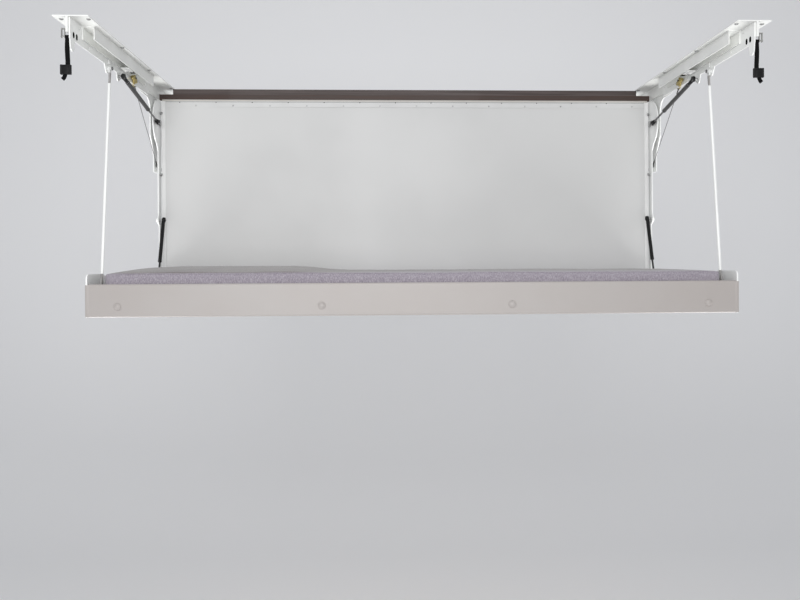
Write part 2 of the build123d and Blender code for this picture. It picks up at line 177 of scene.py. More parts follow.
class Graph:
    """The nodes of one material."""

    def __init__(self, name: str) -> None:
        """Starts a material with its own shader.

        Args:
            name: The material's name.
        """
        self.material = bpy.data.materials.new(name)
        self.material.use_nodes = True
        self.tree = self.material.node_tree
        self.shader = self.tree.nodes["Principled BSDF"]
        self.spot = Shade(self, self.node("ShaderNodeTexCoord").outputs["Object"])

    def node(
        self,
        kind: str,
        settings: dict | None = None,
        sockets: dict | None = None,
    ) -> bpy.types.Node:
        """Adds a node.

        Args:
            kind: The node's type name.
            settings: Its settings, set first.
            sockets: Its inputs by name or place, as numbers or shades.

        Returns:
            The node.
        """
        made = self.tree.nodes.new(kind)
        for key, value in (settings or {}).items():
            setattr(made, key, value)
        for key, value in (sockets or {}).items():
            self.feed(made.inputs[key], value)
        return made

    def feed(self, socket: bpy.types.NodeSocket, value: "Shade | float | Sequence[float]") -> None:
        """Links or sets one input.

        Args:
            socket: The input.
            value: A shade to link, or a value to set.
        """
        if isinstance(value, Shade):
            self.tree.links.new(value.socket, socket)
        else:
            socket.default_value = value

    def value(
        self,
        kind: str,
        settings: dict | None = None,
        sockets: dict | None = None,
        output: int | str = 0,
    ) -> Shade:
        """Adds a node and returns one of its outputs."""
        return Shade(self, self.node(kind, settings, sockets).outputs[output])

    def math(self, operation: str, *inputs: "Shade | float") -> Shade:
        """Joins values with one Math node."""
        return self.value("ShaderNodeMath", {"operation": operation}, dict(enumerate(inputs)))

    def stretched(self, stretch: Point) -> Shade:
        """Returns the object's coordinates, stretched."""
        return self.value("ShaderNodeMapping", None, {"Vector": self.spot, "Scale": stretch})

    def axis(self, letter: str) -> Shade:
        """Returns one of the object's coordinates."""
        return self.value("ShaderNodeSeparateXYZ", None, {"Vector": self.spot}, letter)

    def noise(self, scale: float, detail: float = 2.0, stretch: Point = EVEN) -> Shade:
        """Returns soft noise from about 0.2 to 0.8."""
        sockets = {"Vector": self.stretched(stretch), "Scale": scale, "Detail": detail}
        return self.value("ShaderNodeTexNoise", None, sockets)

    def cells(self, scale: float) -> Shade:
        """Returns the distance to the nearest of scattered points."""
        return self.value("ShaderNodeTexVoronoi", None, {"Vector": self.spot, "Scale": scale})

    def waves(
        self,
        scale: float,
        direction: str,
        distortion: float = 0.0,
        stretch: Point = EVEN,
    ) -> Shade:
        """Returns even bands across one axis or, with DIAGONAL, across them all."""
        sockets = {"Vector": self.stretched(stretch), "Scale": scale, "Distortion": distortion}
        return self.value("ShaderNodeTexWave", {"bands_direction": direction}, sockets, "Fac")

    def span(self, value: Shade, low: float, high: float) -> Shade:
        """Returns 0 below low and 1 above high, with a smooth step between."""
        sockets = {"Value": value, "From Min": low, "From Max": high}
        return self.value("ShaderNodeMapRange", {"interpolation_type": "SMOOTHSTEP"}, sockets)

    def mix(
        self,
        share: "Shade | float",
        first: "Colour | Shade",
        second: "Colour | Shade",
    ) -> Shade:
        """Mixes two colours."""
        sockets = {0: share, 6: first, 7: second}
        return self.value("ShaderNodeMix", {"data_type": "RGBA"}, sockets, 2)

    def bump(self, height: Shade, distance: float, strength: float = 1.0) -> None:
        """Feeds the shader's normal from a height of 0 to 1 that stands for distance metres.

        Args:
            height: The height.
            distance: How far 1 stands out.
            strength: Its share that shows.
        """
        sockets = {"Height": height, "Distance": distance, "Strength": strength}
        made = self.node("ShaderNodeBump", None, sockets)
        self.tree.links.new(made.outputs[0], self.shader.inputs["Normal"])

    def set(self, **values: "Shade | float | Colour") -> None:
        """Sets the shader's own inputs, with _ for a space in a name."""
        for key, value in values.items():
            self.feed(self.shader.inputs[key.replace("_", " ")], value)


@dataclass(frozen=True)
class Finish:
    """A plain finish that the others build on."""

    colour: Colour
    roughness: float = 0.5
    metallic: float = 0.0
    shine: float = 0.5

    def dress(self, graph: Graph) -> None:
        """Adds the finish's nodes to a material.

        Args:
            graph: The material's nodes.
        """
        graph.set(Specular_IOR_Level=self.shine)
        patches = graph.span(graph.noise(9.0, 3.0), 0.35, 0.7)
        worn = graph.mix(patches, self.colour, dimmed(self.colour, 0.93))
        graph.set(Base_Color=worn, Metallic=self.metallic)
        graph.set(Roughness=self.roughness + 0.08 * graph.noise(60.0, 2.0))


@dataclass(frozen=True)
class Paint(Finish):
    """Sprayed paint on sheet metal, with its fine peel."""

    peel: float = 420.0
    coat: float = 0.15

    def dress(self, graph: Graph) -> None:
        """Adds the clear coat and the peel to the plain finish.

        Args:
            graph: The material's nodes.
        """
        super().dress(graph)
        graph.set(Coat_Weight=self.coat, Coat_Roughness=0.25)
        graph.bump(graph.noise(self.peel, 2.0), 0.00012)


@dataclass(frozen=True)
class Metal(Finish):
    """Bare or plated metal with fine drawn lines along one axis."""

    lines: Sequence[float] = (0.08, 1.0, 1.0)
    metallic: float = 1.0

    def dress(self, graph: Graph) -> None:
        """Adds the drawn lines and faint stains.

        Args:
            graph: The material's nodes.
        """
        drawn = graph.noise(900.0, 3.0, self.lines)
        stains = graph.span(graph.noise(30.0, 4.0), 0.45, 0.75)
        stained = graph.mix(stains, self.colour, dimmed(self.colour, 0.72))
        graph.set(Base_Color=stained, Metallic=self.metallic)
        graph.set(Roughness=self.roughness + 0.16 * drawn + 0.1 * stains)
        graph.bump(drawn, 0.00004)


@dataclass(frozen=True)
class TwoToneMetal(Metal):
    """Metal with another tone above one height."""

    upper: Colour = (0.7, 0.7, 0.7, 1.0)
    split_z: float = -0.084
    blend: float = 0.003

    def dress(self, graph: Graph) -> None:
        """Adds the upper tone to the metal.

        Args:
            graph: The material's nodes.
        """
        super().dress(graph)
        above = graph.span(graph.axis("Z"), self.split_z - self.blend, self.split_z + self.blend)
        stains = graph.span(graph.noise(60.0, 4.0), 0.4, 0.7)
        body = graph.mix(stains * 0.3, self.colour, dimmed(self.colour, 0.7))
        graph.set(Base_Color=graph.mix(above, body, self.upper))


@dataclass(frozen=True)
class Laminate(Finish):
    """A smooth faced board, very slightly waved."""

    def dress(self, graph: Graph) -> None:
        """Adds faint clouds and specks.

        Args:
            graph: The material's nodes.
        """
        clouds = graph.span(graph.noise(2.2, 3.0), 0.3, 0.75)
        specks = graph.span(graph.noise(700.0, 1.0), 0.62, 0.8)
        clouded = graph.mix(clouds, self.colour, dimmed(self.colour, 0.955))
        graph.set(Base_Color=graph.mix(specks * 0.35, clouded, dimmed(self.colour, 0.9)))
        graph.set(Roughness=self.roughness + 0.1 * clouds)
        graph.bump(graph.noise(14.0, 2.0) + 0.05 * graph.noise(500.0, 1.0), 0.0006, 0.5)


@dataclass(frozen=True)
class Vinyl(Finish):
    """Leathercloth: a pebbled grain under a soft sheen."""

    grain: float = 620.0

    def dress(self, graph: Graph) -> None:
        """Adds the pebbles, with painted shade darkening the creases between them.

        Args:
            graph: The material's nodes.
        """
        pebbles = graph.cells(self.grain)
        clouds = graph.span(graph.noise(3.0, 3.0), 0.3, 0.75)
        warm = (self.colour[0] * 0.97, self.colour[1] * 0.95, self.colour[2] * 0.94, 1.0)
        creases = graph.span(pebbles, 0.0, 0.25)
        body = graph.mix(clouds, self.colour, warm)
        # Painted shade: the creases are darkened to stand for the shade that falls in them.
        crease_shade = graph.mix(0.5, body, dimmed(self.colour, 0.8))
        graph.set(Base_Color=graph.mix(creases, crease_shade, body), Sheen_Weight=0.12)
        graph.set(Roughness=self.roughness - 0.12 * creases, Sheen_Roughness=0.4)
        graph.bump(creases * 0.7 + graph.noise(40.0, 2.0) * 0.6, 0.0004)


@dataclass(frozen=True)
class Melange(Finish):
    """Heathered knit: pale and dark fibres in a border, and a browner, smoother top, also darker as
    painted shade.
    """

    pale: Colour = (0.5, 0.5, 0.5, 1.0)
    dark: Colour = (0.3, 0.3, 0.3, 1.0)
    top: Colour = (0.3, 0.3, 0.3, 1.0)
    top_pale: Colour = (0.3, 0.3, 0.3, 1.0)
    seam_z: float = -0.698

    def dress(self, graph: Graph) -> None:
        """Adds the heathered border, the top above the seam and the knitted rows.

        Args:
            graph: The material's nodes.
        """
        fibres = graph.noise(1250.0, 3.0, (1.0, 1.0, 0.4))
        tufts = graph.noise(440.0, 4.0, (1.0, 1.0, 0.45))
        clouds = graph.span(graph.noise(6.0, 4.0), 0.35, 0.7)
        heather = tufts * 0.65 + fibres * 0.35
        light = graph.span(heather, 0.5, 0.6)
        deep = graph.span(heather, 0.48, 0.37)
        border = graph.mix(deep * 0.6, graph.mix(light * 0.6, self.colour, self.pale), self.dark)
        # The top's tones are its own browner fabric, made darker as painted shade.
        cover = graph.mix(clouds, self.top, self.top_pale)
        cover = graph.mix(light * 0.25, cover, self.pale)
        height = graph.axis("Z") + 0.004 * graph.noise(40.0, 2.0)
        over = graph.span(height, self.seam_z + 0.001, self.seam_z + 0.005)
        graph.set(Base_Color=graph.mix(over, border, cover), Sheen_Weight=0.3)
        graph.set(Roughness=self.roughness + 0.08 * tufts, Sheen_Roughness=0.5)
        rows = graph.waves(210.0, "X", 0.8) * graph.waves(210.0, "Z", 0.8)
        graph.bump(rows * 0.4 + fibres * 0.6, 0.0005)


@dataclass(frozen=True)
class Veneer(Finish):
    """Dark wood with its grain along X."""

    streak: Colour = (0.02, 0.015, 0.012, 1.0)

    def dress(self, graph: Graph) -> None:
        """Adds the grain and its pores.

        Args:
            graph: The material's nodes.
        """
        grain = graph.noise(160.0, 5.0, (0.03, 1.0, 1.0))
        pores = graph.span(graph.noise(900.0, 2.0, (0.02, 1.0, 1.0)), 0.55, 0.75)
        share = graph.span(grain, 0.35, 0.68)
        wood = graph.mix(share, self.colour, self.streak)
        graph.set(Base_Color=graph.mix(pores * 0.5, wood, self.streak), Coat_Weight=0.05)
        graph.set(Roughness=self.roughness + 0.2 * pores, Specular_IOR_Level=self.shine)
        graph.bump(grain + pores * -0.6, 0.00015)


@dataclass(frozen=True)
class Trim(Veneer):
    """A header of two strips: the lower one redder and darker than the upper."""

    lower: Colour = (0.05, 0.03, 0.02, 1.0)
    step_z: float = -0.024

    def dress(self, graph: Graph) -> None:
        """Adds the two strips' own tones to the veneer.

        Args:
            graph: The material's nodes.
        """
        super().dress(graph)
        grain = graph.noise(120.0, 4.0, (0.03, 1.0, 1.0))
        pale = graph.mix(graph.span(grain, 0.3, 0.75), self.colour, self.streak)
        deep = graph.mix(graph.span(grain, 0.35, 0.7), self.lower, self.streak)
        below = graph.span(graph.axis("Z"), self.step_z + 0.0003, self.step_z - 0.0003)
        graph.set(Base_Color=graph.mix(below, pale, deep))


@dataclass(frozen=True)
class Wire(Metal):
    """Twisted steel wire."""

    def dress(self, graph: Graph) -> None:
        """Adds the strands' twist to the metal, with painted shade darkening the grooves between
        them.

        Args:
            graph: The material's nodes.
        """
        super().dress(graph)
        twist = graph.waves(420.0, "DIAGONAL", 0.0, (1.0, 0.6, 1.0))
        # Painted shade: the grooves between the strands are darkened.
        graph.set(Base_Color=graph.mix(twist, dimmed(self.colour, 0.5), self.colour))
        graph.bump(twist, 0.0003)


@dataclass(frozen=True)
class Plywood(Finish):
    """Birch plywood: a pale face figure and dark glue lines on its edges."""

    figure: Colour = (0.3, 0.2, 0.12, 1.0)

    def dress(self, graph: Graph) -> None:
        """Adds the figure and the glue lines.

        Args:
            graph: The material's nodes.
        """
        grain = graph.noise(26.0, 6.0, (0.05, 1.0, 1.0))
        share = graph.span(grain, 0.4, 0.7)
        plies = graph.span(graph.waves(110.0, "Z"), 0.82, 0.95)
        face = graph.mix(share * 0.55, self.colour, self.figure)
        graph.set(Base_Color=graph.mix(plies * 0.6, face, self.figure))
        graph.set(Roughness=self.roughness + 0.15 * share)
        graph.bump(grain, 0.0003)


@dataclass(frozen=True)
class Plastic(Finish):
    """Moulded plastic with a spark-eroded grain."""

    def dress(self, graph: Graph) -> None:
        """Adds the grain to the plain finish."""
        super().dress(graph)
        graph.bump(graph.cells(1500.0), 0.00006)


@dataclass(frozen=True)
class Webbing(Finish):
    """Woven strap with ribs along it and a fine crosswise pick."""

    def dress(self, graph: Graph) -> None:
        """Adds the ribs and picks, with a painted sheen that makes their crests paler.

        Args:
            graph: The material's nodes.
        """
        ribs = graph.waves(260.0, "X")
        picks = graph.waves(330.0, "Z", 1.5)
        # Painted sheen: the crests of the weave are made paler.
        pale = tuple(min(c * 2.2 + 0.004, 1.0) for c in self.colour[:3]) + (1.0,)
        graph.set(Base_Color=graph.mix(ribs * picks * 0.6, self.colour, pale))
        graph.set(Roughness=self.roughness + 0.15 * picks, Specular_IOR_Level=self.shine)
        graph.bump(ribs * 0.6 + picks * 0.4, 0.0004)


class Coat(Enum):
    """The finishes, mostly by the name of their slot in the record."""

    PAINT = "white_paint"
    ZINC = "zinc_steel"
    BOARD = "white_board"
    VINYL = "vinyl"
    FABRIC = "mattress_fabric"
    WOOD = "dark_wood"
    PLYWOOD = "plywood"
    TUBE = "strut_tube"
    ROD = "strut_rod"
    PLASTIC = "black_plastic"
    WEBBING = "webbing"
    BRASS = "brass"
    # HOLE: near-black, painted shade for the dark inside holes and slots.
    HOLE = "painted_hole_shade"
    WIRE = "wire"
    ENAMEL = "white_enamel"
    DULL = "dull_steel"
    EDGING = "pale_edging"
    STRIP = "strip_paint"
    CHANNEL = "channel_paint"
    BLACKED = "blacked_rod"
    BRIGHT = "bright_steel"

    @property
    def slot(self) -> str:
        """The record's slot that the finish belongs to."""
        return SHARED_SLOTS.get(self, self).value


# The slots of finishes that have none of their own
SHARED_SLOTS = {
    Coat.HOLE: Coat.PLASTIC,
    Coat.WIRE: Coat.ZINC,
    Coat.DULL: Coat.ZINC,
    Coat.BRIGHT: Coat.ZINC,
    Coat.ENAMEL: Coat.PAINT,
    Coat.STRIP: Coat.PAINT,
    Coat.CHANNEL: Coat.PAINT,
    Coat.EDGING: Coat.BOARD,
    Coat.BLACKED: Coat.ROD,
}

FINISHES: dict[Coat, Finish] = {
    Coat.PAINT: Paint(tone(238, 239, 236), 0.42),
    Coat.ENAMEL: Paint(tone(244, 245, 243), 0.34, coat=0.3),
    Coat.ZINC: Metal(tone(178, 178, 178), 0.36),
    Coat.DULL: TwoToneMetal(
        tone(160, 158, 156),
        0.6,
        metallic=0.3,
        upper=tone(226, 227, 226),
    ),
    Coat.BRIGHT: Metal(tone(172, 172, 170), 0.45, metallic=0.4),
    Coat.STRIP: Paint(tone(208, 208, 207), 0.42),
    Coat.CHANNEL: Paint(tone(228, 228, 227), 0.42),
    Coat.BLACKED: Metal(tone(46, 46, 48), 0.35, metallic=0.5),
    Coat.BOARD: Laminate(tone(207, 207, 206), 0.38),
    Coat.EDGING: Plastic(tone(196, 192, 186), 0.5, shine=0.4),
    Coat.VINYL: Vinyl(tone(171, 166, 163), 0.55),
    Coat.FABRIC: Melange(
        tone(148, 141, 150),
        0.88,
        pale=tone(184, 178, 187),
        dark=tone(118, 111, 122),
        # top and top_pale: browner than the border, and darker as painted shade.
        top=tone(128, 122, 120),
        top_pale=tone(116, 109, 108),
    ),
    Coat.WOOD: Trim(
        tone(92, 82, 80),
        0.6,
        shine=0.3,
        streak=tone(70, 61, 58),
        lower=tone(74, 58, 52),
    ),
    Coat.PLYWOOD: Plywood(tone(214, 186, 148), 0.6, figure=tone(172, 134, 92)),
    Coat.TUBE: Paint(tone(56, 55, 55), 0.40, peel=600.0, coat=0.1, shine=0.35),
    Coat.ROD: Metal(tone(118, 117, 118), 0.2),
    Coat.PLASTIC: Plastic(tone(17, 17, 18), 0.5, shine=0.22),
    Coat.WEBBING: Webbing(tone(13, 13, 14), 0.85, shine=0.12),
    Coat.BRASS: TwoToneMetal(
        tone(92, 90, 90),
        0.30,
        upper=tone(182, 166, 112),
        split_z=-0.063,
    ),
    # Painted shade for holes and slots.
    Coat.HOLE: Plastic(tone(8, 8, 8), 0.8, shine=0.05),
    Coat.WIRE: Wire(tone(150, 150, 151), 0.35),
}

# Each carried-over CAD node's finish, by the start of its name; the first that fits counts
NODE_COATS: tuple[tuple[Coat, tuple[str, ...]], ...] = (
    (Coat.PAINT, ("rail_", "track_", "side_ties", "frame_", "lower_strut_brackets")),
    (Coat.ZINC, ("arm_spacers", "upper_strut_studs", "lower_strut_studs", "stop_bolts")),
    (Coat.ZINC, ("panel_pivots", "bed_pivots", "strap_clevises")),
    (Coat.ENAMEL, ("lug_plate", "leg_", "arm_", "side_plate", "stay_sleeve")),
    (Coat.DULL, ("stay_",)),
    (Coat.BLACKED, ("lower_strut_rod",)),
    (Coat.CHANNEL, ("edge_channel",)),
    (Coat.STRIP, ("top_strip",)),
    (Coat.BOARD, ("board",)),
    (Coat.WOOD, ("header",)),
    (Coat.VINYL, ("fascia",)),
    (Coat.PLYWOOD, ("deck",)),
    (Coat.TUBE, ("upper_strut_tube",)),
    (Coat.ROD, ("upper_strut_rod",)),
    (Coat.PLASTIC, ("lower_strut_tube", "buckles")),
    (Coat.BRASS, ("cable_fittings",)),
    (Coat.WIRE, ("cables",)),
    (Coat.WEBBING, ("straps",)),
    (Coat.FABRIC, ("mattress",)),
)


class Palette:
    """Makes each finish's material once and gives it to pieces."""

    def __init__(self) -> None:
        """Starts with no material made."""
        self.materials: dict[Coat, bpy.types.Material] = {}

    def material(self, coat: Coat) -> bpy.types.Material:
        """Returns the material of a finish.

        Args:
            coat: The finish.

        Returns:
            The material, made at the first call.
        """
        if coat not in self.materials:
            graph = Graph(coat.value)
            FINISHES[coat].dress(graph)
            self.materials[coat] = graph.material
        return self.materials[coat]

    def paint(self, piece: bpy.types.Object, coat: Coat) -> None:
        """Puts a finish on all of a piece's slots."""
        piece.data.materials.clear()
        piece.data.materials.append(self.material(coat))

    def dress_nodes(self, nodes: dict[str, bpy.types.Object]) -> None:
        """Gives every CAD node its finish.

        Args:
            nodes: The frame's pieces by their names.
        """
        for name, piece in nodes.items():
            coat = next(coat for coat, starts in NODE_COATS if name.startswith(starts))
            self.paint(piece, coat)


class Shape:
    """A mesh under construction in the shared frame, made with bmesh operators."""

    def __init__(self) -> None:
        """Starts an empty mesh."""
        self.bm = bmesh.new()

    def _bevel(self, verts: Iterable[bmesh.types.BMVert], width: float, segments: int) -> None:
        """Rounds the edges between the given vertices where faces meet sharply.

        Args:
            verts: The vertices.
            width: The rounding's width.
            segments: Its steps.
        """
        inside = set(verts)
        edges = [
            edge
            for edge in {e for v in inside for e in v.link_edges}
            if len(edge.link_faces) == 2 and edge.calc_face_angle(0.0) > math.radians(35)
        ]
        bmesh.ops.bevel(
            self.bm,
            geom=edges,
            offset=width,
            offset_type="OFFSET",
            segments=segments,
            profile=0.5,
            affect="EDGES",
            clamp_overlap=True,
            material=-1,
        )

    def block(self, low: Point, high: Point, bevel: float = 0.0, segments: int = 2) -> "Shape":
        """Adds a box between two corners, with rounded edges.

        Args:
            low: The low corner.
            high: The high corner.
            bevel: The rounding's width.
            segments: Its steps.

        Returns:
            The shape itself.
        """
        lower, upper = Vector(low), Vector(high)
        size = Matrix.Diagonal((*(upper - lower), 1.0))
        matrix = Matrix.Translation((upper + lower) / 2) @ size
        verts = bmesh.ops.create_cube(self.bm, size=1.0, matrix=matrix)["verts"]
        if bevel:
            self._bevel(verts, bevel, segments)
        return self

    def _cone(self, centre: Vector, along: Vector, radii: Pair, tall: float, sides: int) -> list:
        """Adds a closed cone or bar about a point and returns its vertices.

        Args:
            centre: Its middle.
            along: The direction of its axis.
            radii: The radius at its start and at its end.
            tall: Its length.
            sides: How many sides it has.

        Returns:
            Its vertices.
        """
        turn = Vector(UP).rotation_difference(along).to_matrix().to_4x4()
        return bmesh.ops.create_cone(
            self.bm,
            cap_ends=True,
            cap_tris=False,
            segments=sides,
            radius1=radii[0],
            radius2=radii[1],
            depth=tall,
            matrix=Matrix.Translation(centre) @ turn,
        )["verts"]

    def rod(
        self,
        start: Point,
        end: Point,
        radius: float,
        end_radius: float | None = None,
        sides: int = 24,
        bevel: float = 0.0,
    ) -> "Shape":
        """Adds a round, tapered or, with few sides, flat-sided bar between two points.

        Args:
            start: The middle of its first end.
            end: The middle of its last end.
            radius: Its radius at the start.
            end_radius: Its radius at the end, where it differs.
            sides: How many sides it has.
            bevel: The rounding's width.

        Returns:
            The shape itself.
        """
        first, last = Vector(start), Vector(end)
        radii = (radius, radius if end_radius is None else end_radius)
        verts = self._cone((first + last) / 2, last - first, radii, (last - first).length, sides)
        if bevel:
            self._bevel(verts, bevel, 2)
        return self

    def lathe(self, profile: Sequence[Pair], foot: Point, axis: Point, steps: int = 28) -> "Shape":
        """Adds a turned shape.

        Args:
            profile: Radius and height of each corner, in order.
            foot: The place of height 0 on the axis.
            axis: The direction in which the heights run.
            steps: How many parts the full turn has.

        Returns:
            The shape itself.
        """
        origin, along = Vector(foot), Vector(axis).normalized()
        side = along.orthogonal().normalized()
        corners = [self.bm.verts.new(origin + side * r + along * h) for r, h in profile]
        edges = [self.bm.edges.new(pair) for pair in zip(corners, corners[1:])]
        bmesh.ops.spin(
            self.bm,
            geom=corners + edges,
            cent=origin,
            axis=along,
            angle=math.tau,
            steps=steps,
            use_merge=True,
        )
        bmesh.ops.remove_doubles(self.bm, verts=self.bm.verts, dist=1e-6)
        return self

    def screw(
        self,
        foot: Point,
        axis: Point,
        radius: float,
        height: float,
        sides: int = 24,
    ) -> "Shape":
        """Adds a screw's head with a six-sided socket, or a bolt's with few sides.

        Args:
            foot: The middle of its seat.
            axis: The direction in which it stands out.
            radius: Its radius at the seat.
            height: How far it stands out.
            sides: How many sides it has.

        Returns:
            The shape itself.
        """
        origin, along = Vector(foot), Vector(axis).normalized()
        radii = (radius, radius * (0.78 if sides > 8 else 0.96))
        verts = self._cone(origin + along * height / 2, along, radii, height, sides)
        faces = {face for vert in verts for face in vert.link_faces}
        top = max(faces, key=lambda face: (face.calc_center_median() - origin).dot(along))
        wall = radius * 0.36
        rim = bmesh.ops.inset_region(self.bm, faces=[top], thickness=wall, use_even_offset=True)
        cup = bmesh.ops.extrude_discrete_faces(self.bm, faces=[top])["faces"]
        inside = list({v for f in cup for v in f.verts})
        bmesh.ops.translate(self.bm, verts=inside, vec=-along * height * 0.5)
        self._bevel({v for f in rim["faces"] for v in f.verts}, radius * 0.06, 1)
        return self

    def plate(
        self,
        outline: Sequence[Pair],
        low: float,
        high: float,
        bevel: float = 0.0,
    ) -> "Shape":
        """Adds a flat plate from an outline in Y and Z, between two places on X.

        Args:
            outline: Its corners in order.
            low: The lower place on X.
            high: The higher place on X.
            bevel: The rounding's width.

        Returns:
            The shape itself.
        """
        corners = [self.bm.verts.new((low, y, z)) for y, z in outline]
        face = self.bm.faces.new(corners)
        made = bmesh.ops.extrude_face_region(self.bm, geom=[face])["geom"]
        moved = [item for item in made if isinstance(item, bmesh.types.BMVert)]
        bmesh.ops.translate(self.bm, verts=moved, vec=(high - low, 0.0, 0.0))
        if bevel:
            self._bevel(corners + moved, bevel, 2)
        return self

    def sweep(
        self,
        path: Sequence[Point],
        width: float,
        height: float,
        sides: int = 4,
        up: Point = UP,
        twist: float = 0.0,
    ) -> "Shape":
        """Adds a round or four-sided bar along a path.

        Args:
            path: The points of its centreline.
            width: Its size across, or the round bar's diameter.
            height: Its size along up.
            sides: 4 for a flat bar, more for a round one.
            up: Roughly the direction of its height at the start.
            twist: How far it turns about its path at each point, in radians.

        Returns:
            The shape itself.
        """
        points = [Vector(p) for p in path]
        steps = [(b - a).normalized() for a, b in zip(points, points[1:])]
        middles = [(a + b).normalized() for a, b in zip(steps, steps[1:])]
        headings = [steps[0], *middles, steps[-1]]
        across = headings[0].cross(Vector(up)).normalized()
        above = across.cross(headings[0]).normalized()
        turn = Matrix((across, above, headings[0])).transposed().to_4x4()
        size = Matrix.Diagonal((width, height, 1.0, 1.0))
        ring = bmesh.ops.create_circle(
            self.bm,
            cap_ends=False,
            segments=sides,
            radius=math.sqrt(0.5) if sides == 4 else 0.5,
            matrix=Matrix.Rotation(math.pi / sides, 4, "Z"),
        )["verts"]
        start = Matrix.Translation(points[0]) @ turn @ size
        bmesh.ops.transform(self.bm, verts=ring, matrix=start)
        edges = list({edge for vert in ring for edge in vert.link_edges})
        first = list(edges)
        for index in range(1, len(points)):
            made = bmesh.ops.extrude_edge_only(self.bm, edges=edges)["geom"]
            verts = [item for item in made if isinstance(item, bmesh.types.BMVert)]
            edges = [item for item in made if isinstance(item, bmesh.types.BMEdge)]
            bend = headings[index - 1].rotation_difference(headings[index]).to_matrix()
            bmesh.ops.rotate(self.bm, verts=verts, cent=points[index - 1], matrix=bend)
            if twist:
                spin = Matrix.Rotation(twist, 3, headings[index])
                bmesh.ops.rotate(self.bm, verts=verts, cent=points[index - 1], matrix=spin)
            bmesh.ops.translate(self.bm, verts=verts, vec=points[index] - points[index - 1])
        bmesh.ops.holes_fill(self.bm, edges=first + edges, sides=0)
        return self

    def mirrored(self) -> "Shape":
        """Adds the mirror image across the middle.

        Returns:
            The shape itself.
        """
        everything = [*self.bm.verts, *self.bm.edges, *self.bm.faces]
        middle = Matrix.Identity(4)
        bmesh.ops.mirror(self.bm, geom=everything, matrix=middle, merge_dist=0.0, axis="X")
        return self

    def flipped(self, sign: float) -> "Shape":
        """Moves the shape to the side that the sign names.

        Args:
            sign: 1 for the right, -1 for the left.

        Returns:
            The shape itself.
        """
        if sign < 0:
            bmesh.ops.scale(self.bm, vec=(-1.0, 1.0, 1.0), verts=self.bm.verts)
        return self

    def piece(
        self,
        name: str,
        body: str,
        coat: Coat,
        palette: Palette,
        angle: float = 35.0,
    ) -> bpy.types.Object:
        """Ends the shape as a piece of the object.

        Args:
            name: The piece's name.
            body: The CAD body that it moves with.
            coat: Its finish.
            palette: Where the finish comes from.
            angle: Edges sharper than this stay sharp, in degrees.

        Returns:
            The piece.
        """
        bmesh.ops.remove_doubles(self.bm, verts=self.bm.verts, dist=1e-6)
        bmesh.ops.recalc_face_normals(self.bm, faces=self.bm.faces)
        mesh = bpy.data.meshes.new(name)
        self.bm.to_mesh(mesh)
        self.bm.free()
        mesh.shade_smooth()
        mesh.set_sharp_from_angle(angle=math.radians(angle))
        made = placed(name, mesh)
        palette.paint(made, coat)
        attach(made, body)
        log.info("%s on %s", name, body)
        return made


@dataclass
class Assembly:
    """A group of pieces that ride on one body, or on one for each side."""

    palette: Palette
    body: ClassVar[str] = "ceiling_frame"

    def build(self) -> None:
        """Builds the group's pieces."""
        raise NotImplementedError

    def end(self, shape: Shape, name: str, coat: Coat, body: str = "") -> bpy.types.Object:
        """Ends a shape as one piece on the group's body, or on another."""
        return shape.piece(name, body or self.body, coat, self.palette)

    def pair(self, shape: Shape, name: str, coat: Coat, body: str = "") -> bpy.types.Object:
        """Ends a shape and its mirror image as one piece."""
        return self.end(shape.mirrored(), name, coat, body)


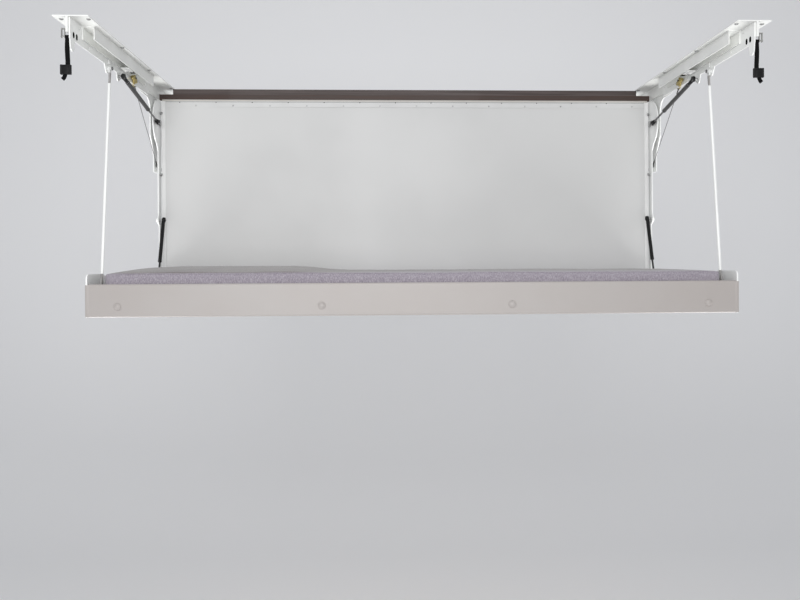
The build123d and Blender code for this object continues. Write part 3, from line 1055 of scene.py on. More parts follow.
@dataclass
class CeilingRails(Assembly):
    """Screws and small fixings of the two ceiling rails."""

    flange_low: float = -0.003
    screw_xs: Pair = (0.897, 0.970)
    screw_head: Pair = (0.0050, 0.0024)
    washer_bore: float = 0.0035
    washer_radius: float = 0.0064
    track_low: float = -0.0395
    stop_xs: Pair = (0.9095, 0.9345)
    stop_ys: Pair = (-0.046, 0.008)
    stop_tall: float = 0.0045
    stop_screw: Pair = (0.926, -0.004)
    stop_head: Pair = (0.0048, 0.0024)
    slot_xs: Pair = (0.9120, 0.9270)
    slot_ys: Pair = (0.0060, 0.0400)
    lug_in: float = 0.940
    tab_ys: Pair = (-0.1560, -0.1525)
    tab_zs: Pair = (-0.0555, -0.0420)
    tab_wide: float = 0.0040
    nut_places: tuple[Pair, ...] = ((-0.300, -0.022), (0.040, -0.052), (0.262, -0.030))
    nut_head: Pair = (0.0042, 0.0022)
    # The lug plates' oval holes, filled with black as painted shade.
    hole_ys: Pair = (-0.449, -0.425)
    hole_z: float = -0.045
    hole_half: float = 0.0022
    hole_radius: float = 0.0062

    def build(self) -> None:
        """Builds the flange screws, the track stops, the lug plates' fixings and the painted shade
        in their holes.
        """
        heads = Shape()
        rim, bore = self.washer_radius, self.washer_bore
        washer = ((bore, 0.0), (rim, 0.0), (rim, -0.0007), (bore, -0.0010))
        for x in self.screw_xs:
            for y in SCREW_YS:
                heads.lathe(washer, (x, y, self.flange_low), UP)
                heads.screw((x, y, self.flange_low - 0.0008), DOWN, *self.screw_head)
        self.pair(heads, "rail_screws", Coat.ZINC)
        self._track_stops()
        self._lug_tabs()
        self._lug_hole_shades()

    def _track_stops(self) -> None:
        """Adds the white stop at the middle of each track, with its screw, and a thin black plate
        as painted shade in its open end.
        """
        low = self.track_low
        foot = low - self.stop_tall
        stop = Shape().block(*between(self.stop_xs, self.stop_ys, (foot, low - 0.0002)), 0.0012)
        self.pair(stop, "track_stops", Coat.ENAMEL)
        seat = (*self.stop_screw, foot + 0.0001)
        screw = Shape().screw(seat, DOWN, *self.stop_head, sides=20)
        self.pair(screw, "track_stop_screws", Coat.ZINC)
        # Painted shade: a thin black plate stands for the dark inside the open end.
        slot = between(self.slot_xs, self.slot_ys, (low - 0.0012, low - 0.0003))
        self.pair(Shape().block(*slot, 0.0003, 1), "track_slot_shades", Coat.HOLE)

    def _lug_tabs(self) -> None:
        """Adds the folded tab over each stay's pin and the round nuts of the lug plates."""
        tab = between((self.lug_in - self.tab_wide, self.lug_in), self.tab_ys, self.tab_zs)
        self.pair(Shape().block(*tab, 0.0009), "lug_tabs", Coat.ENAMEL)
        nuts = Shape()
        for y, z in self.nut_places:
            nuts.screw((self.lug_in, y, z), INWARD, *self.nut_head, sides=6)
        self.pair(nuts, "lug_nuts", Coat.ENAMEL)

    def _lug_hole_shades(self) -> None:
        """Adds black oval plates in the holes near each rail's near end, painted shade that shows
        the holes dark.
        """
        # Painted shade: the black plates stand for the dark inside the holes.
        plugs = Shape()
        for y in self.hole_ys:
            outline = []
            half = self.hole_half
            for start, middle in ((0, self.hole_z + half), (180, self.hole_z - half)):
                for angle in (math.radians(start + 15 * step) for step in range(13)):
                    across, up = math.cos(angle), math.sin(angle)
                    outline.append((y + self.hole_radius * across, middle + self.hole_radius * up))
            plugs.plate(outline, self.lug_in - 0.0006, self.lug_in + 0.0024, 0.0004)
        self.pair(plugs, "lug_hole_shades", Coat.HOLE)


@dataclass
class StayPins(Assembly):
    """Split rings, tips and collars of the stays' pins."""

    inner_x: float = 0.9265
    ring_radius: float = 0.0062
    ring_turns: float = 1.6
    ring_steps: int = 40
    wire: float = 0.0018
    tip_radius: float = 0.0036
    collar_radius: float = 0.0050

    def build(self) -> None:
        """Builds the rings at both ends of the stays and the collars under the rails."""
        ends = (("upper", self.body, STAY_TOP), ("lower", "bed", STAY_FOOT))
        for name, body, (y, z) in ends:
            ring = self._ring(Vector((self.inner_x, y + 0.0035, z + 0.001)))
            shape = Shape().sweep(ring, self.wire, self.wire, sides=10, up=OUTWARD)
            start, end = (self.inner_x - 0.0035, y, z), (self.inner_x + 0.002, y, z)
            shape.rod(start, end, self.tip_radius, sides=20, bevel=0.0005)
            self.pair(shape, f"stay_rings_{name}", Coat.ZINC, body)
        bore, rim = self.tip_radius, self.collar_radius
        profile = ((bore, 0.0), (rim, 0.0), (rim, 0.0024), (bore, 0.0030), (bore, 0.0))
        collars = Shape().lathe(profile, (self.inner_x - 0.0010, *STAY_TOP), INWARD)
        self.pair(collars, "stay_collars", Coat.ROD)

    def _ring(self, centre: Vector) -> list[Vector]:
        """Returns the turns of a split ring, a little aslant.

        Args:
            centre: The middle of its first turn.

        Returns:
            The points of its centreline.
        """
        points = []
        for step in range(self.ring_steps + 1):
            share = step / self.ring_steps
            angle = math.tau * self.ring_turns * share
            lean = 0.0016 * share + 0.0012 * math.sin(angle)
            y, z = (turn(angle) * self.ring_radius for turn in (math.cos, math.sin))
            points.append(centre + Vector((lean, y, z)))
        return points


@dataclass(frozen=True)
class Strut:
    """One gas strut: its name, plane, pivots and tube."""

    name: str
    x: float
    stud: Pair
    eye: Pair
    tube_near: float
    tube_share: float
    tube_radius: float
    eye_wall: float

    @property
    def length(self) -> float:
        """The distance between the pivots."""
        return math.dist(self.eye, self.stud)

    def at(self, distance: float) -> Vector:
        """Returns the point on the axis at a distance from the stud.

        Args:
            distance: How far the point is from the stud.

        Returns:
            The point.
        """
        share = distance / self.length
        y, z = (a + (b - a) * share for a, b in zip(self.stud, self.eye))
        return Vector((self.x, y, z))


STRUTS = (
    Strut("upper", 0.926, UPPER_STUD, UPPER_EYE, 0.050, 0.69, 0.0070, 0.9335),
    Strut("lower", 0.921, LOWER_STUD, LOWER_EYE, 0.014, 0.60, 0.0065, 0.9105),
)


@dataclass
class GasStruts(Assembly):
    """Moulded sockets, glands and studs of the four gas struts."""

    socket_radius: float = 0.0095
    socket_half: float = 0.0045
    neck_radius: float = 0.0068
    tube_neck: float = 0.040
    rod_neck: float = 0.0235
    gland_tall: float = 0.0075
    thread_radius: float = 0.0054
    stud_radius: float = 0.0058

    def build(self) -> None:
        """Builds both ends of every strut."""
        for side, sign in SIDES:
            for strut in STRUTS:
                self._tube_end(strut, side, sign)
                self._rod_end(strut, side, sign)

    def _tube_end(self, strut: Strut, side: str, sign: float) -> None:
        """Adds the socket at the stud, the threaded end and the gland.

        Args:
            strut: The strut.
            side: The side's name.
            sign: 1 for the right, -1 for the left.
        """
        part = f"{strut.name}_tube"
        body = f"{part}_{side}"
        neck = min(self.tube_neck, strut.tube_near + 0.004)
        shape = Shape()
        self._socket(shape, strut.at(0.0), strut.at(neck))
        gland = strut.at(strut.length * strut.tube_share - 0.006)
        self._gland(shape, gland, strut.at(1.0) - strut.at(0.0), strut.tube_radius + 0.0005)
        self.end(shape.flipped(sign), f"{part}_socket_{side}", Coat.PLASTIC, body)
        if strut.tube_near > neck:
            start, end = strut.at(neck), strut.at(strut.tube_near + 0.0002)
            thread = Shape().rod(start, end, self.thread_radius, sides=6, bevel=0.0004)
            self.end(thread.flipped(sign), f"{part}_thread_{side}", Coat.ZINC, body)

    def _rod_end(self, strut: Strut, side: str, sign: float) -> None:
        """Adds the socket at the eye and its stud's hexagon.

        Args:
            strut: The strut.
            side: The side's name.
            sign: 1 for the right, -1 for the left.
        """
        part = f"{strut.name}_rod"
        body = f"{part}_{side}"
        shape = Shape()
        self._socket(shape, strut.at(strut.length), strut.at(strut.length - self.rod_neck))
        self.end(shape.flipped(sign), f"{part}_socket_{side}", Coat.PLASTIC, body)
        start = strut.x + math.copysign(self.socket_half, strut.eye_wall - strut.x)
        ends = (start, *strut.eye), (strut.eye_wall, *strut.eye)
        hexagon = Shape().rod(*ends, self.stud_radius, sides=6, bevel=0.0003)
        self.end(hexagon.flipped(sign), f"{part}_stud_{side}", Coat.ZINC, body)

    def _socket(self, shape: Shape, centre: Vector, neck_end: Vector) -> None:
        """Adds a ball socket about X with its neck.

        Args:
            shape: What it is added to.
            centre: The ball's middle.
            neck_end: The neck's end, on the strut's axis.
        """
        rings = (
            (0.0, -0.0076),
            (0.45, -0.0076),
            (0.80, -0.0066),
            (0.96, -0.0040),
            (1.0, -0.0005),
            (0.96, 0.0026),
            (0.82, 0.0040),
            (0.56, 0.0040),
            (0.56, 0.0),
            (0.0, 0.0),
        )
        profile = [(self.socket_radius * share, x) for share, x in rings]
        shape.lathe(profile, centre, OUTWARD, 32)
        start = centre.lerp(neck_end, 0.15)
        shape.rod(start, neck_end, self.neck_radius, self.neck_radius * 0.86, bevel=0.0006)

    def _gland(self, shape: Shape, foot: Vector, along: Vector, radius: float) -> None:
        """Adds the rounded ring at the tube's end.

        Args:
            shape: What it is added to.
            foot: The ring's start, on the strut's axis.
            along: The direction of the axis.
            radius: The ring's radius.
        """
        tall = self.gland_tall
        edge = tall * 0.22
        flat = radius - edge
        profile = (
            (0.0, 0.0),
            (flat, 0.0),
            (radius, edge),
            (radius, tall - edge),
            (flat, tall),
            (0.0, tall),
        )
        shape.lathe(profile, foot, along)


@dataclass
class CableEnds(Assembly):
    """Round caps, screws, crimped ferrules and painted hole shade of the two cables."""

    barrel: tuple[float, float, float] = (0.935, 0.112, -0.051)
    cable_x: float = 0.945
    cable_top: Pair = (0.145, -0.062)
    cable_foot: Pair = (0.436, -0.300)
    sleeve_radii: Pair = (0.0070, 0.0058)
    nut_radii: Pair = (0.0052, 0.0044)
    pin_radius: float = 0.0034
    foot_head: Pair = (0.0046, 0.0024)
    top_head: Pair = (0.0030, 0.0016)
    ferrule_radius: float = 0.0024
    ferrule_pitch: float = 0.0055
    ferrule_tall: float = 0.0050

    def build(self) -> None:
        """Builds the barrels' trim, the ferrules and the eyes' screws."""
        self._barrel()
        self._ferrules()

    def _near(self, x: float, y: float, z: float) -> tuple[float, float, float]:
        """Returns a place that is given from the barrel's."""
        return (self.barrel[0] + x, self.barrel[1] + y, self.barrel[2] + z)

    def _barrel(self) -> None:
        """Adds the barrel's cap with its sleeve, nut and pin, and a black bar on the sleeve that
        paints the shade of its hole.
        """
        cap = ((0.0, 0.0032), (0.0052, 0.0032), (0.0074, 0.0020), (0.0080, 0.0), (0.0, 0.0))
        caps = Shape().lathe(cap, self.barrel, INWARD)
        sleeve = self._near(-0.0020, 0.002, 0.003), self._near(-0.0020, -0.034, 0.008)
        caps.rod(*sleeve, *self.sleeve_radii, sides=20, bevel=0.0010)
        nut = self._near(0.0005, 0.006, 0.004), self._near(0.0005, 0.022, 0.001)
        caps.rod(*nut, *self.nut_radii, sides=6, bevel=0.0006)
        pin = self._near(-0.0050, -0.019, 0.0172), self._near(-0.0050, -0.019, -0.0010)
        caps.rod(*pin, self.pin_radius, sides=16, bevel=0.0006)
        self.pair(caps, "cable_barrel_caps", Coat.BRASS)
        # Painted shade: a black bar stands for the dark inside the sleeve's hole.
        screw = self._near(-0.0098, -0.014, 0.0075), self._near(-0.0040, -0.014, 0.0075)
        sleeve_hole_shade = Shape().rod(*screw, self.pin_radius, sides=16)
        self.pair(sleeve_hole_shade, "cable_barrel_hole_shades", Coat.HOLE)

    def _ferrules(self) -> None:
        """Adds the crimped rings at both ends of the cable and the screws of its eyes."""
        top, foot = (Vector((self.cable_x, *end)) for end in (self.cable_top, self.cable_foot))
        along = (foot - top).normalized()
        ferrules = Shape()
        for start in (top + along * 0.006, foot - along * 0.024):
            for ring in range(3):
                at = start + along * (self.ferrule_pitch * ring)
                end = at + along * self.ferrule_tall
                ferrules.rod(at, end, self.ferrule_radius, sides=14, bevel=0.0005)
        self.pair(ferrules, "cable_ferrules", Coat.BRASS)
        eyes = Shape()
        eyes.screw((self.cable_x - 0.0017, *self.cable_foot), INWARD, *self.foot_head, sides=20)
        eyes.screw((self.cable_x - 0.0035, *self.cable_top), INWARD, *self.top_head, sides=16)
        self.pair(eyes, "cable_eye_screws", Coat.ZINC)


@dataclass
class Straps(Assembly):
    """The retaining straps with their buckles, at the rails' near ends."""

    x: float = 0.9497
    y: float = -0.468
    web_out: float = 0.949
    web_low: float = -0.0316
    prong_xs: Pair = (0.9568, 0.9650)
    prong_half: Pair = (0.0009, 0.0045)
    pin_z: float = -0.0535
    pin_radius: float = 0.0023
    width: float = 0.0118
    thickness: float = 0.0013
    loop_radius: float = 0.0033
    levels: tuple[float, ...] = (-0.134, -0.120, -0.106, -0.092, -0.080, -0.070, -0.062)
    layer_half: float = 0.0011
    buckle_top: float = -0.130
    buckle_low: float = -0.157
    buckle_x: float = 0.9545
    buckle_half: float = 0.0145
    buckle_deep: float = 0.005
    side_bar: float = 0.0058
    cross_bars: tuple[Pair, ...] = ((0.0225, 0.0042), (0.0120, 0.0040), (0.0002, 0.0065))
    lever_half: float = 0.0096
    rib_half: float = 0.0060
    rib_pitch: float = 0.0028

    def build(self) -> None:
        """Builds the hanger, the webbing and the buckle."""
        self._hanger()
        self._webbing()
        self._buckle()

    def _hanger(self) -> None:
        """Adds the two prongs under a small plate and the pin that the strap hangs on."""
        y, z, top = self.y, self.pin_z, self.web_low
        thick, half = self.prong_half
        far = self.prong_xs[1]
        plate = between((self.web_out, far + 0.0010), (y - 0.006, y + 0.006), (top - 0.0022, top))
        hanger = Shape().block(*plate, 0.0009, 3)
        for x in self.prong_xs:
            prong = between((x - thick, x + thick), (y - half, y + half), (z - half, top - 0.0004))
            hanger.block(*prong, 0.0008, 3)
        pin = (self.x - self.width / 2 - 0.0002, y, z), (far + 0.0024, y, z)
        hanger.rod(*pin, self.pin_radius, sides=20, bevel=0.0004)
        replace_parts(self.pair(hanger, "strap_hangers", Coat.BRIGHT), "strap_clevises")

    def _webbing(self) -> None:
        """Adds the webbing, looped over the pin and slightly twisted, and its free end."""
        arc = []
        for angle in (math.radians(a) for a in range(0, 181, 20)):
            y, z = (turn(angle) * self.loop_radius for turn in (math.cos, math.sin))
            arc.append((self.x, self.y + y, self.pin_z + z))
        layer = [(self.x - 0.0008 * math.sin((z - self.levels[-1]) * 70), z) for z in self.levels]
        tail = [(x, self.y + self.layer_half, z) for x, z in layer]
        back = [(x, self.y - self.layer_half, z) for x, z in reversed(layer)]
        loop = Shape().sweep([*tail, *arc, *back], self.width, self.thickness, up=FAR)
        x, y, low = self.buckle_x, self.y, self.buckle_low
        end = [
            (x, y - 0.001, low + 0.006),
            (x + 0.002, y - 0.001, low - 0.003),
            (x + 0.005, y - 0.0005, low - 0.009),
            (x + 0.009, y, low - 0.013),
        ]
        loop.sweep(end, self.width * 0.9, self.thickness, up=FAR, twist=0.12)
        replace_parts(self.pair(loop, "strap_webbing", Coat.WEBBING), "straps")

    def _buckle(self) -> None:
        """Adds the moulded buckle: two side bars, three cross bars and the ribbed lever."""
        half, deep, bar = self.buckle_half, self.buckle_deep, self.side_bar
        low, high = self.buckle_low, self.buckle_top
        x, y = self.buckle_x, self.y
        buckle = Shape()
        for left in (x - half, x + half - bar):
            buckle.block(*between((left, left + bar), (y - deep, y + deep), (low, high)), 0.0018, 3)
        across, thick = (x - half + 0.003, x + half - 0.003), (y - deep + 0.0008, y + deep - 0.0008)
        for rise, tall in self.cross_bars:
            buckle.block(*between(across, thick, (low + rise, low + rise + tall)), 0.0013)
        across = (x - self.lever_half, x + self.lever_half)
        thick = (y - deep - 0.0004, y + deep - 0.0010)
        buckle.block(*between(across, thick, (low + 0.004, high - 0.005)), 0.0012)
        for step in range(4):
            z = low + 0.008 + self.rib_pitch * step
            rib = [(x + end, y - deep - 0.0003, z) for end in (-self.rib_half, self.rib_half)]
            buckle.rod(*rib, 0.0006, sides=8)
        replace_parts(self.pair(buckle, "strap_buckles", Coat.PLASTIC), "buckles")


@dataclass
class Panel(Assembly):
    """Fasteners, edging and caps of the swinging panel."""

    body: ClassVar[str] = "panel"
    strip_front: float = 0.438
    stud_row: tuple[float, float, float] = (-0.0715, -0.800, 0.1388)
    stud_head: Pair = (0.0030, 0.0012)
    # The strip's holes, shown by black pins as painted shade.
    hole_row: tuple[float, float, float] = (-0.0590, -0.860, 0.1355)
    hole_radii: Pair = (0.0020, 0.0015)
    row_count: int = 13
    edging_half: float = 0.926
    edging_zs: Pair = (-0.0556, -0.0486)
    edging_deep: float = 0.0145
    # A thin dark strip under the edging, a painted shadow.
    shadow_line_half: float = 0.9120
    shadow_line_zs: Pair = (-0.0581, -0.0570)
    bolt_y: float = 0.4350
    bolt_zs: Pair = (-0.101, -0.333)
    bolt_xs: tuple[float, float, float] = (0.9245, 0.9290, 0.9375)
    bolt_radius: float = 0.0026
    bolt_head: float = 0.0050
    back: float = 0.4535
    channel_x: float = 0.9215
    channel_row: tuple[float, float, int] = (-0.115, -0.125, 6)
    channel_head: Pair = (0.0026, 0.0009)
    cap_x: float = 0.9380

    def build(self) -> None:
        """Builds the strip's fasteners, the edging, the bolts, the screws and the caps."""
        self._strip_fasteners()
        self._edging()
        self._bolts()
        self._channel_screws()
        self._stud_caps()

    def _strip_fasteners(self) -> None:
        """Adds the strip's row of studs, and a row of small black pins that paint the shade in the
        strip's holes.
        """
        studs, pins = Shape(), Shape()
        front = self.strip_front
        for step in range(self.row_count):
            z, first, pitch = self.stud_row
            studs.screw((first + step * pitch, front, z), NEAR, *self.stud_head, sides=16)
            # Painted shade: the black pins stand for the dark inside the holes.
            z, first, pitch = self.hole_row
            x = first + step * pitch
            pin = (x, front + 0.0002, z), (x, front - 0.0007, z)
            pins.rod(*pin, *self.hole_radii, sides=12)
        self.end(studs, "strip_fasteners", Coat.ZINC)
        self.end(pins, "strip_hole_shades", Coat.HOLE)

    def _edging(self) -> None:
        """Adds the pale edging on the board's top and the thin dark line under it, a painted
        shadow.
        """
        front, half = self.strip_front, self.edging_half
        thick = (front, front + self.edging_deep)
        edging = Shape().block(*between((-half, half), thick, self.edging_zs), 0.0012)
        self.end(edging, "board_edging", Coat.EDGING)
        # Painted shadow: the dark strip under the edging, in the strut tube's dark paint.
        half, thick = self.shadow_line_half, (front - 0.0003, front + 0.0004)
        shadow_line = Shape().block(*between((-half, half), thick, self.shadow_line_zs), 0.0002, 1)
        self.end(shadow_line, "edging_painted_shadow", Coat.TUBE)

    def _bolts(self) -> None:
        """Adds the bolts that stand out between each arm and the board's edge."""
        bolts = Shape()
        for z in self.bolt_zs:
            tip, head, wall = ((x, self.bolt_y, z) for x in self.bolt_xs)
            bolts.rod(head, wall, self.bolt_radius, sides=14)
            bolts.rod(tip, head, self.bolt_head, sides=6, bevel=0.0005)
        self.pair(bolts, "panel_bolts", Coat.ZINC)

    def _channel_screws(self) -> None:
        """Adds the small countersunk screws along the board's edge channels, on the back."""
        first, pitch, count = self.channel_row
        screws = Shape()
        for step in range(count):
            foot = (self.channel_x, self.back, first + pitch * step)
            screws.screw(foot, FAR, *self.channel_head, sides=16)
        self.pair(screws, "channel_screws", Coat.ZINC)

    def _stud_caps(self) -> None:
        """Adds the white domed cap over each lower strut's stud."""
        dome = (
            (0.0, 0.0096),
            (0.0060, 0.0094),
            (0.0088, 0.0082),
            (0.0105, 0.0058),
            (0.0105, 0.0),
            (0.0, 0.0),
        )
        caps = Shape().lathe(dome, (self.cap_x, *LOWER_STUD), OUTWARD, 36)
        self.pair(caps, "stud_caps", Coat.ENAMEL)


@dataclass
class Bed(Assembly):
    """Welts, buttons, plugs and bolts of the bed."""

    body: ClassVar[str] = "bed"
    side_out: float = 0.950
    fascia_y: float = -0.336
    fascia_zs: Pair = (-0.823, -0.728)
    welt_half: float = 0.944
    welt: float = 0.0026
    button_xs: Pair = (0.2778, 0.861)
    button_z: float = -0.793
    wrap_x: float = 0.9400
    wrap_far: float = -0.3180
    wrap_out: float = 0.0028
    far_y: float = 0.420
    frame_low: float = -0.823
    bolt_ys: tuple[float, float, float] = (-0.290, 0.0, 0.300)
    bolt_z: float = -0.808
    bolt_steps: Pair = (-0.012, 0.012)
    bolt_head: Pair = (0.0052, 0.0028)
    washer: Pair = (0.0075, 0.0010)
    bracket_screw: Pair = (0.9035, -0.780)
    bracket_steps: Pair = (-0.008, 0.008)
    bracket_head: Pair = (0.0027, 0.0016)

    def build(self) -> None:
        """Builds the fascia's trim, the plugs and the bolts."""
        self._welt()
        self._rings()
        self._wraps()
        self._domes()
        self._plugs()
        self._bolts()

    def _welt(self) -> None:
        """Adds the sewn welt along the fascia's top."""
        y, z = self.fascia_y + 0.0030, self.fascia_zs[1] - 0.0012
        path = [(x, y, z) for x in (-self.welt_half, 0.0, self.welt_half)]
        welt = Shape().sweep(path, self.welt, self.welt, sides=12)
        self.end(welt, "fascia_welt", Coat.VINYL)

    def _turned(self, profile: Sequence[Pair], lift: float, name: str) -> None:
        """Adds one turned shape at every button.

        Args:
            profile: Its radii and heights.
            lift: How far its foot stands out from the fascia.
            name: The piece's name.
        """
        shape = Shape()
        for x in self.button_xs:
            shape.lathe(profile, (x, self.fascia_y - lift, self.button_z), NEAR, 36)
        self.pair(shape, name, Coat.VINYL)

    def _rings(self) -> None:
        """Adds the sewn ring round each button."""
        ring = (
            (0.0096, 0.0),
            (0.0116, 0.0),
            (0.0112, 0.0010),
            (0.0102, 0.0014),
            (0.0096, 0.0010),
            (0.0096, 0.0),
        )
        self._turned(ring, 0.0, "button_rings")

    def _domes(self) -> None:
        """Adds each button's dome."""
        dome = (
            (0.0, 0.0044),
            (0.0030, 0.0042),
            (0.0060, 0.0034),
            (0.0080, 0.0018),
            (0.0084, 0.0),
            (0.0, 0.0),
        )
        self._turned(dome, 0.0020, "button_domes")

    def _wraps(self) -> None:
        """Adds the cloth that is wrapped round each end of the fascia."""
        across = (self.wrap_x, self.side_out + self.wrap_out)
        wrap = between(across, (self.fascia_y - 0.0004, self.wrap_far), self.fascia_zs)
        self.pair(Shape().block(*wrap, 0.0035, 4), "fascia_ends", Coat.VINYL)

    def _plugs(self) -> None:
        """Adds the ribbed plugs in the frame sides' far ends."""
        far, low = self.far_y, self.frame_low
        plugs = Shape()
        for xs, ys, zs, bevel in (
            ((0.8992, 0.9288), (far, far + 0.0024), (low + 0.0002, low + 0.0398), 0.0009),
            ((0.9040, 0.9240), (far + 0.0022, far + 0.0034), (low + 0.005, low + 0.035), 0.0006),
        ):
            plugs.block(*between(xs, ys, zs), bevel)
        self.pair(plugs, "tube_plugs", Coat.PLASTIC)

    def _bolts(self) -> None:
        """Adds the side plates' bolts, at each tie, and the strut brackets' screws."""
        bolts = Shape()
        rim, tall = self.washer
        washer = ((0.0, 0.0), (rim, 0.0), (rim, tall), (0.0, tall))
        for y in (middle + step for middle in self.bolt_ys for step in self.bolt_steps):
            bolts.lathe(washer, (self.side_out, y, self.bolt_z), OUTWARD)
            seat = (self.side_out + tall - 0.0001, y, self.bolt_z)
            bolts.screw(seat, OUTWARD, *self.bolt_head, sides=6)
        self.pair(bolts, "side_bolts", Coat.ZINC)
        screws = Shape()
        x, z = self.bracket_screw
        for step in self.bracket_steps:
            screws.screw((x, LOWER_EYE[0] + step, z), UP, *self.bracket_head, sides=16)
        self.pair(screws, "bracket_screws", Coat.ZINC)


@dataclass
class Mattress(Assembly):
    """The mattress: its cover blown up a little, as cloth, in the CAD solid's space."""

    voxel: float = 0.011
    start_inside: float = 0.004
    pressure: float = 4.0
    frames: int = 20
    travel: float = 0.005
    slack: float = -0.012
    crown_foot: float = -0.7015
    crown_share: float = 0.36
    hump: tuple[float, float, float, float] = (-1.05, -0.78, -0.40, -0.20)
    wave: float = 0.0024
    pipe: float = 0.0028
    pipe_steps: int = 58
    pipe_pitch: float = 0.015
    cover: bpy.types.Object = field(init=False)
    low: Vector = field(init=False)
    high: Vector = field(init=False)

    def build(self) -> None:
        """Builds the cover and its piping."""
        self.low, self.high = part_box("mattress")
        mesh = bpy.data.objects["mattress"].data.copy()
        self.cover = cover = placed("mattress_cover", mesh)
        bm = bmesh.new()
        bm.from_mesh(mesh)
        bmesh.ops.remove_doubles(bm, verts=bm.verts, dist=1e-5)
        bmesh.ops.recalc_face_normals(bm, faces=bm.faces)
        bm.to_mesh(mesh)
        bm.free()
        self._remesh()
        centre = (self.low + self.high) / 2
        size = self.high - self.low
        shrink = Matrix.Diagonal((*(1 - 2 * self.start_inside / s for s in size), 1.0))
        cover.data.transform(Matrix.Translation(centre) @ shrink @ Matrix.Translation(-centre))
        self._blow_up()
        self._fill()
        self._lie()
        self._keep_inside()
        self._piping()
        smooth = cover.modifiers.new("Round", "SUBSURF")
        smooth.levels = 1
        smooth.render_levels = 1
        cover.data.shade_smooth()
        self.palette.paint(cover, Coat.FABRIC)
        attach(cover, "bed")
        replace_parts(cover, "mattress")
        log.info("mattress_cover on bed")

    def _remesh(self) -> None:
        """Gives the cover even quads."""
        remesh = self.cover.modifiers.new("Even", "REMESH")
        remesh.mode = "VOXEL"
        remesh.voxel_size = self.voxel
        self._apply()

    def _apply(self) -> None:
        """Makes the modifiers' result the cover's own mesh."""
        evaluated = self.cover.evaluated_get(bpy.context.evaluated_depsgraph_get())
        made = bpy.data.meshes.new_from_object(evaluated)
        self.cover.modifiers.clear()
        self.cover.data = made

    def _blow_up(self) -> None:
        """Runs the cloth and caps how far each point has moved."""
        start = [v.co.copy() for v in self.cover.data.vertices]
        cloth = self.cover.modifiers.new("Cover", "CLOTH")
        cloth.settings.use_pressure = True
        cloth.settings.uniform_pressure_force = self.pressure
        cloth.settings.shrink_min = self.slack
        cloth.settings.quality = 5
        cloth.settings.effector_weights.gravity = 0.0
        scene = bpy.context.scene
        for frame in range(1, self.frames + 1):
            scene.frame_set(frame)
        self._apply()
        scene.frame_set(1)
        for vert, old in zip(self.cover.data.vertices, start):
            move = vert.co - old
            if move.length > self.travel:
                vert.co = old + move * (self.travel / move.length)

    def _fill(self) -> None:
        """Stretches the cover to the CAD solid's box."""
        points = [vert.co for vert in self.cover.data.vertices]
        least = Vector(min(p[i] for p in points) for i in range(3))
        most = Vector(max(p[i] for p in points) for i in range(3))
        for vert in self.cover.data.vertices:
            shares = [(c - a) / (b - a) for c, a, b in zip(vert.co, least, most)]
            ends = zip(shares, self.low, self.high)
            vert.co = Vector(a + (b - a) * share for share, a, b in ends)

    def _lie(self) -> None:
        """Flattens the crown except for a soft hump at the left, and waves the surface."""
        up, full, still, down = self.hump
        middle = (self.low.z + self.high.z) / 2
        for vert in self.cover.data.vertices:
            x, y, z = vert.co
            rise, fall = ramp(x, up, full), ramp(x, still, down)
            soft = rise * rise * (3 - 2 * rise) * (1 - fall * fall * (3 - 2 * fall))
            share = self.crown_share + (1 - self.crown_share) * soft
            over = max(z - self.crown_foot, 0.0)
            ripple = noise.noise(Vector((x * 4.3, y * 5.5, 0.7)))
            ripple += 0.5 * noise.noise(Vector((x * 11.0, y * 9.0, 3.1)))
            depth = ramp(z, middle, middle + 0.02)
            vert.co.z = z - over * (1 - share) + self.wave * depth * (ripple - 0.5)
            edge = ramp(y, self.low.y + 0.03, self.low.y + 0.01)
            bulge = 0.5 + 0.5 * noise.noise(Vector((x * 9.0, z * 30.0, 5.0)))
            vert.co.y = y + edge * self.wave * bulge

    def _piping(self) -> None:
        """Adds the sewn piping along the near and the far top edge, laid on the cover."""
        points = [vert.co for vert in self.cover.data.vertices]
        faces = [tuple(face.vertices) for face in self.cover.data.polygons]
        tree = BVHTree.FromPolygons(points, faces)
        shape = Shape()
        for start_y, heading in ((self.low.y - 0.05, 1.0), (self.high.y + 0.05, -1.0)):
            path = []
            ray = Vector((0, heading, -1))
            for step in range(-self.pipe_steps, self.pipe_steps + 1):
                start = Vector((step * self.pipe_pitch, start_y, self.crown_foot + 0.0575))
                found = tree.ray_cast(start, ray.normalized())[0]
                if found:
                    path.append(found - ray * 0.0002)
            shape.sweep(path, self.pipe, self.pipe, sides=8)
        shape.piece("mattress_piping", "bed", Coat.FABRIC, self.palette, 60.0)

    def _keep_inside(self) -> None:
        """Holds every point in the CAD solid's box."""
        for vert in self.cover.data.vertices:
            ends = zip(vert.co, self.low, self.high)
            vert.co = Vector(min(max(c, a + 0.0002), b) for c, a, b in ends)


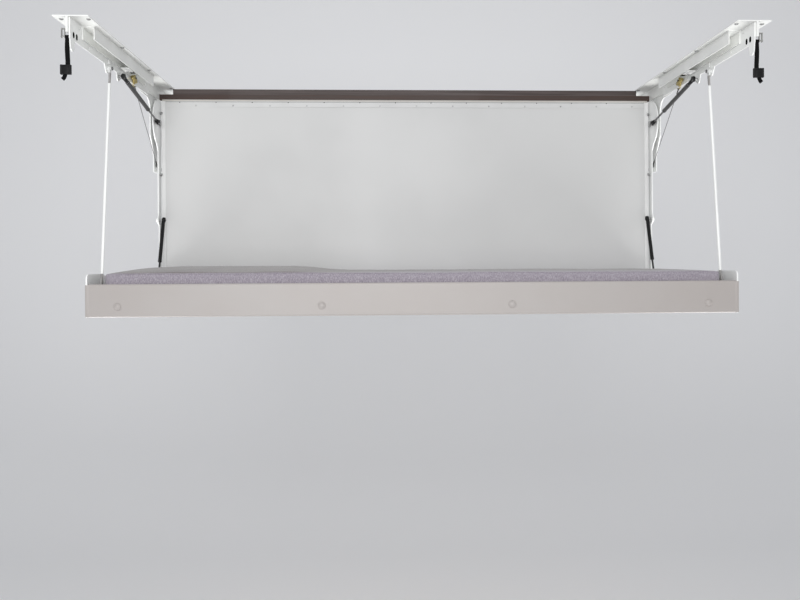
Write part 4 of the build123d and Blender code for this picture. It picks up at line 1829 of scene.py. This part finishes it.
@dataclass
class Stage:
    """Pale floor and backdrop, soft lamps and the camera that stands where the photo's did."""

    floor_z: float = -2.30
    wall_y: float = 3.2
    bend: float = 1.2
    half_width: float = 9.0
    near_y: float = -9.0
    height: float = 5.0
    light: float = 0.62
    lamps: tuple[tuple[str, Point, Point, float, float], ...] = (
        ("lamp_front", (-0.3, -3.2, -0.1), (0.0, 0.1, -0.5), 2.0, 66.0),
        ("lamp_under_left", (-1.6, 0.1, -1.9), (-1.5, 0.1, 0.0), 1.0, 32.0),
        ("lamp_under_right", (1.6, 0.1, -1.9), (1.5, 0.1, 0.0), 1.0, 32.0),
    )
    eye: tuple[float, float, float] = (-0.107, -2.815, -0.675)
    angles: tuple[float, float, float] = (-2.56, -0.03, -0.31)
    sensor: float = 36.0
    lens: float = 38.38
    shift: Pair = (-0.0234, -0.0441)

    def build(self) -> None:
        """Builds everything round the object."""
        self._sweep()
        self._world()
        self._lamps()
        self._camera()

    def _sweep(self) -> None:
        """Makes the floor and the wall as one curved sheet."""
        bm = bmesh.new()
        path = [(self.near_y, self.floor_z)]
        for step in range(0, 13):
            angle = math.pi / 2 * step / 12
            y = self.wall_y - self.bend + self.bend * math.sin(angle)
            path.append((y, self.floor_z + self.bend * (1 - math.cos(angle))))
        path.append((self.wall_y, self.height))
        verts = [bm.verts.new((-self.half_width, y, z)) for y, z in path]
        edges = [bm.edges.new(pair) for pair in zip(verts, verts[1:])]
        made = bmesh.ops.extrude_edge_only(bm, edges=edges)["geom"]
        moved = [item for item in made if isinstance(item, bmesh.types.BMVert)]
        bmesh.ops.translate(bm, verts=moved, vec=(2 * self.half_width, 0, 0))
        bmesh.ops.recalc_face_normals(bm, faces=bm.faces)
        mesh = bpy.data.meshes.new("stage_sweep")
        bm.to_mesh(mesh)
        bm.free()
        mesh.shade_smooth()
        sweep = placed("stage_sweep", mesh)
        graph = Graph("stage_paper")
        graph.set(Base_Color=tone(235, 235, 236), Roughness=0.95)
        mesh.materials.append(graph.material)

    def _world(self) -> None:
        """Lights everything softly and shows camera and mirror rays a pale background."""
        world = bpy.data.worlds.new("pale")
        world.use_nodes = True
        tree = world.node_tree
        light = tree.nodes["Background"]
        light.inputs["Color"].default_value = tone(238, 240, 243)
        light.inputs["Strength"].default_value = self.light
        seen = tree.nodes.new("ShaderNodeBackground")
        seen.inputs["Color"].default_value = tone(226, 227, 229)
        rays = tree.nodes.new("ShaderNodeLightPath")
        share = rays.outputs["Is Camera Ray"]
        for kind in ("Is Glossy Ray", "Is Transmission Ray"):
            either = tree.nodes.new("ShaderNodeMath")
            either.operation = "ADD"
            either.use_clamp = True
            tree.links.new(share, either.inputs[0])
            tree.links.new(rays.outputs[kind], either.inputs[1])
            share = either.outputs[0]
        mixer = tree.nodes.new("ShaderNodeMixShader")
        for place, source in enumerate((share, light.outputs[0], seen.outputs[0])):
            tree.links.new(source, mixer.inputs[place])
        tree.links.new(mixer.outputs[0], tree.nodes["World Output"].inputs["Surface"])
        bpy.context.scene.world = world

    def _lamps(self) -> None:
        """Places the soft lamps, each by its name, place, aim, size and power."""
        for name, place, aim, size, power in self.lamps:
            lamp = bpy.data.lights.new(name, "AREA")
            lamp.shape = "SQUARE"
            lamp.size = size
            lamp.energy = power
            holder = placed(name, lamp)
            holder.location = place
            heading = Vector(aim) - Vector(place)
            holder.rotation_euler = heading.to_track_quat("-Z", "Y").to_euler()
            holder.visible_camera = False

    def _camera(self) -> None:
        """Stands the camera by its place and its yaw, pitch and roll."""
        yaw, pitch, roll = (math.radians(a) for a in self.angles)
        right = Vector((math.cos(yaw), math.sin(yaw), 0.0))
        level = Vector((-math.sin(yaw), math.cos(yaw), 0.0))
        forward = level * math.cos(pitch) + Vector(UP) * math.sin(pitch)
        above = Vector(UP) * math.cos(pitch) - level * math.sin(pitch)
        side = right * math.cos(roll) + above * math.sin(roll)
        top = above * math.cos(roll) - right * math.sin(roll)
        camera = bpy.data.cameras.new("camera")
        camera.sensor_width = self.sensor
        camera.lens = self.lens
        camera.shift_x, camera.shift_y = self.shift
        holder = placed("camera", camera)
        turn = Matrix((side, top, -forward)).transposed().to_4x4()
        holder.matrix_world = Matrix.Translation(self.eye) @ turn
        bpy.context.scene.camera = holder


def main() -> None:
    """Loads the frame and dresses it."""
    logging.basicConfig(level=logging.INFO, format="%(message)s")
    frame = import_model()
    bpy.context.scene.view_settings.view_transform = "Standard"
    palette = Palette()
    palette.dress_nodes(frame["nodes"])
    groups = (CeilingRails, StayPins, GasStruts, CableEnds, Straps, Panel, Bed, Mattress)
    for group in groups:
        group(palette).build()
    Stage().build()


if __name__ == "__main__":
    main()
